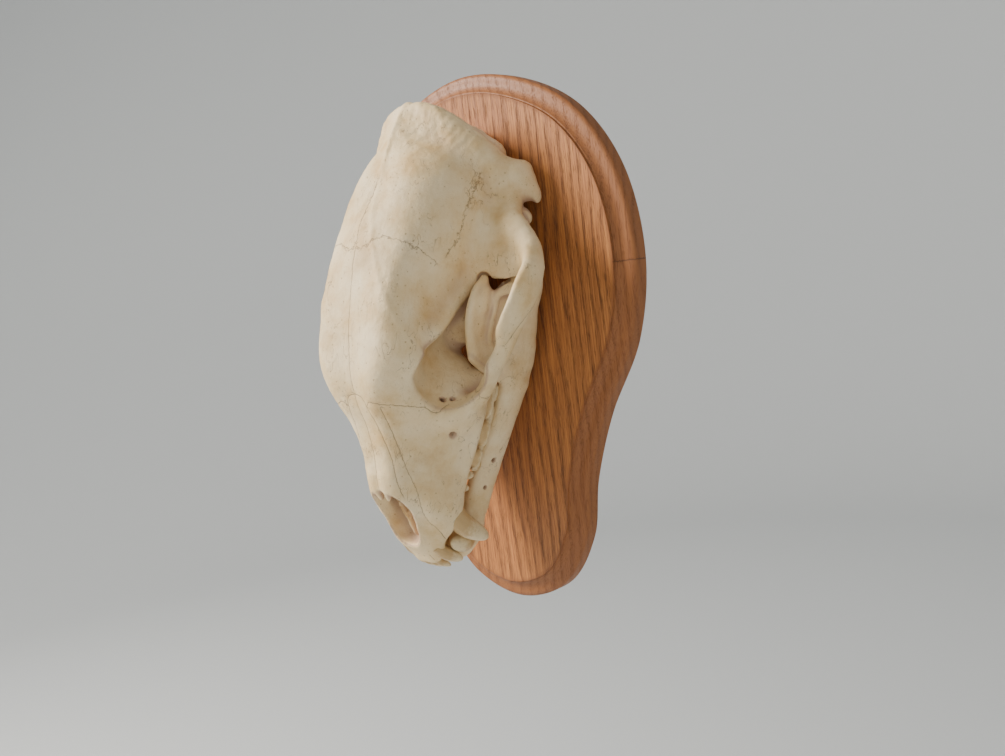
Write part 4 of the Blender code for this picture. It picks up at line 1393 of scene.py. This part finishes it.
@dataclass(frozen=True)
class OakFinish:
    """Stained oak under satin varnish, with upright grain."""

    light: Point = (0.60, 0.240, 0.060)
    middle: Point = (0.45, 0.162, 0.040)
    dark: Point = (0.26, 0.086, 0.022)
    pore: Point = (0.11, 0.038, 0.013)

    def material(self) -> bpy.types.Material:
        """Growth rings seen along the grain, rows of open pores, and a darker rim."""
        shader = Shader("oak")
        places = shader.millimetres()
        across, depth, along = shader.split(places)
        drift = shader.noise(places, 1.0, 3, 0.5, (0.012, 0.012, 0.0035))
        ring = ((across + depth * 1.3 + drift * 60) / 8.5).fract()
        early = ring.step(0.0, 0.12) * ring.step(0.6, 0.2)
        fibre = shader.noise(places, 1.0, 4, 0.65, (1.4, 1.4, 0.03))
        colour = shader.ramp(fibre, ((0.3, self.dark), (0.5, self.middle), (0.7, self.light)))
        colour = shader.mix(early * 0.5, colour, self.dark)
        dashes = shader.noise(places, 1.0, 2, 0.6, (2.3, 2.3, 0.09))
        pores = (dashes + early * 0.10).step(0.60, 0.68)
        colour = shader.mix(pores * 0.75, colour, self.pore)
        flecks = shader.noise(places, 1.0, 2, 0.5, (0.5, 0.5, 0.06))
        colour = shader.mix(flecks.step(0.62, 0.72) * 0.3, colour, self.light)
        rim = shader.attribute("rim")
        colour = shader.mix(rim * 0.7, colour, self.dark)
        split = abs(along - 48 + (fibre - 0.5) * 2).step(0.5, 0.15) * across.step(114, 117) * rim
        colour = shader.mix(split * 0.7, colour, self.pore)
        height = fibre * 0.3 - pores * 0.8 - split
        return shader.dress(base_color=colour, roughness=0.6 + 0.2 * pores, coat_weight=0.05,
                            coat_roughness=0.22, normal=shader.bump(height, 0.0002))


class Lamp(NamedTuple):
    """A square area light: its name, place, size in metres, watts and colour."""

    name: str
    place: Point
    size: float
    watts: float
    colour: Point


@dataclass
class Studio:
    """Soft light, a pale floor and backdrop, and the camera at the photograph's angle."""

    camera_place: Point = (0.4814, -0.4786, 0.0553)
    yaw: float = 45.3
    pitch: float = -6.6
    roll: float = -6.5
    focal_pixels: float = 1000.0
    image_width: float = 1005.0
    floor_height: float = -0.8
    room_radius: float = 3.2
    bend_radius: float = 0.8
    wall_height: float = 5.0
    lamps: tuple[Lamp, ...] = (
        Lamp("key", (-1.5, -1.35, 1.2), 0.9, 114, (1.0, 0.95, 0.87)),
        Lamp("fill", (1.7, -1.3, 0.3), 1.6, 3, (0.96, 0.98, 1.0)),
        Lamp("top", (0.9, -0.9, 1.7), 1.2, 3, (1.0, 0.98, 0.96)))
    lit_place: Point = (0.0, -0.06, 0.0)
    sky_colour: Point = (0.96, 0.98, 1.0)
    sky_strength: float = 0.34

    def camera(self) -> None:
        """Place the camera and give it the photograph's field of view."""
        data = bpy.data.cameras.new("camera")
        data.sensor_width = 36.0
        data.lens = self.focal_pixels / self.image_width * data.sensor_width
        data.clip_start = 0.01
        thing = linked("camera", data)
        yaw, pitch, roll = (math.radians(angle) for angle in (self.yaw, self.pitch, self.roll))
        forward = Vector((-math.sin(yaw) * math.cos(pitch), math.cos(yaw) * math.cos(pitch),
                          math.sin(pitch)))
        right = forward.cross(Vector((0, 0, 1))).normalized()
        up = right.cross(forward)
        across = right * math.cos(roll) + up * math.sin(roll)
        upward = up * math.cos(roll) - right * math.sin(roll)
        turn = Matrix((across, upward, -forward)).transposed().to_4x4()
        thing.matrix_world = Matrix.Translation(self.camera_place) @ turn
        bpy.context.scene.camera = thing

    def shine(self, lamp: Lamp) -> None:
        """Hang a lamp and aim it at the skull."""
        data = bpy.data.lights.new(lamp.name, "AREA")
        data.size, data.energy, data.color = lamp.size, lamp.watts, lamp.colour
        thing = linked(lamp.name, data)
        thing.location = lamp.place
        aim = Vector(self.lit_place) - Vector(lamp.place)
        thing.rotation_euler = aim.to_track_quat("-Z", "Y").to_euler()

    def floor(self) -> None:
        """A round floor that curves up all round into a pale wall."""
        bend = np.linspace(0, math.pi / 2, 10)
        bend_start = self.room_radius - self.bend_radius
        radius = np.concatenate(((0.02, 1.0), bend_start + self.bend_radius * np.sin(bend),
                                 (self.room_radius,)))
        height = self.floor_height + np.concatenate(
            ((0.0, 0.0), self.bend_radius - self.bend_radius * np.cos(bend), (self.wall_height,)))
        turns = full_turn(96)
        points = np.stack((radius[:, None] * np.cos(turns), radius[:, None] * np.sin(turns),
                           np.repeat(height[:, None], len(turns), axis=1)), axis=-1)
        faces = np.stack(ring_corners(*points.shape[:2]), axis=-1).reshape(-1, 4)
        floor = make_mesh("floor", points.reshape(-1, 3), faces)
        shader = Shader("pale_floor")
        floor.data.materials.append(shader.dress(base_color=(0.66, 0.68, 0.69), roughness=0.9))

    def build(self) -> None:
        """Set everything up."""
        self.camera()
        self.floor()
        for lamp in self.lamps:
            self.shine(lamp)
        world = bpy.data.worlds.new("world")
        bpy.context.scene.world = world
        world.use_nodes = True
        sky = world.node_tree.nodes["Background"]
        sky.inputs["Color"].default_value = (*self.sky_colour, 1)
        sky.inputs["Strength"].default_value = self.sky_strength


def dress(piece: bpy.types.Object, material: bpy.types.Material,
          replaced: Sequence[str] = ()) -> None:
    """Finish a piece.

    Args:
        piece: The piece.
        material: Its material.
        replaced: The solids that it stands for.
    """
    piece.data.materials.append(material)
    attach(piece, "root")
    if replaced:
        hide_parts(*replaced)
    LOG.info("%s: %d faces", piece.name, len(piece.data.polygons))


def main() -> None:
    """Build the pieces in order and light them."""
    logging.basicConfig(level=logging.INFO, format="%(message)s")
    Studio().build()
    bone, enamel, oak = BoneFinish().material(), EnamelFinish().material(), OakFinish().material()
    dress(Cranium().build(), bone,
          ("cranium", "zygomatic_bone_left", "zygomatic_bone_right"))
    for side, half in Mandible().build().items():
        dress(half, bone, (f"mandible_{side.name.lower()}",))
    dress(UPPER_TEETH.build(), enamel)
    dress(LOWER_TEETH.build(), enamel)
    dress(Plaque().build(), oak, ("plaque",))


if __name__ == "__main__":
    main()
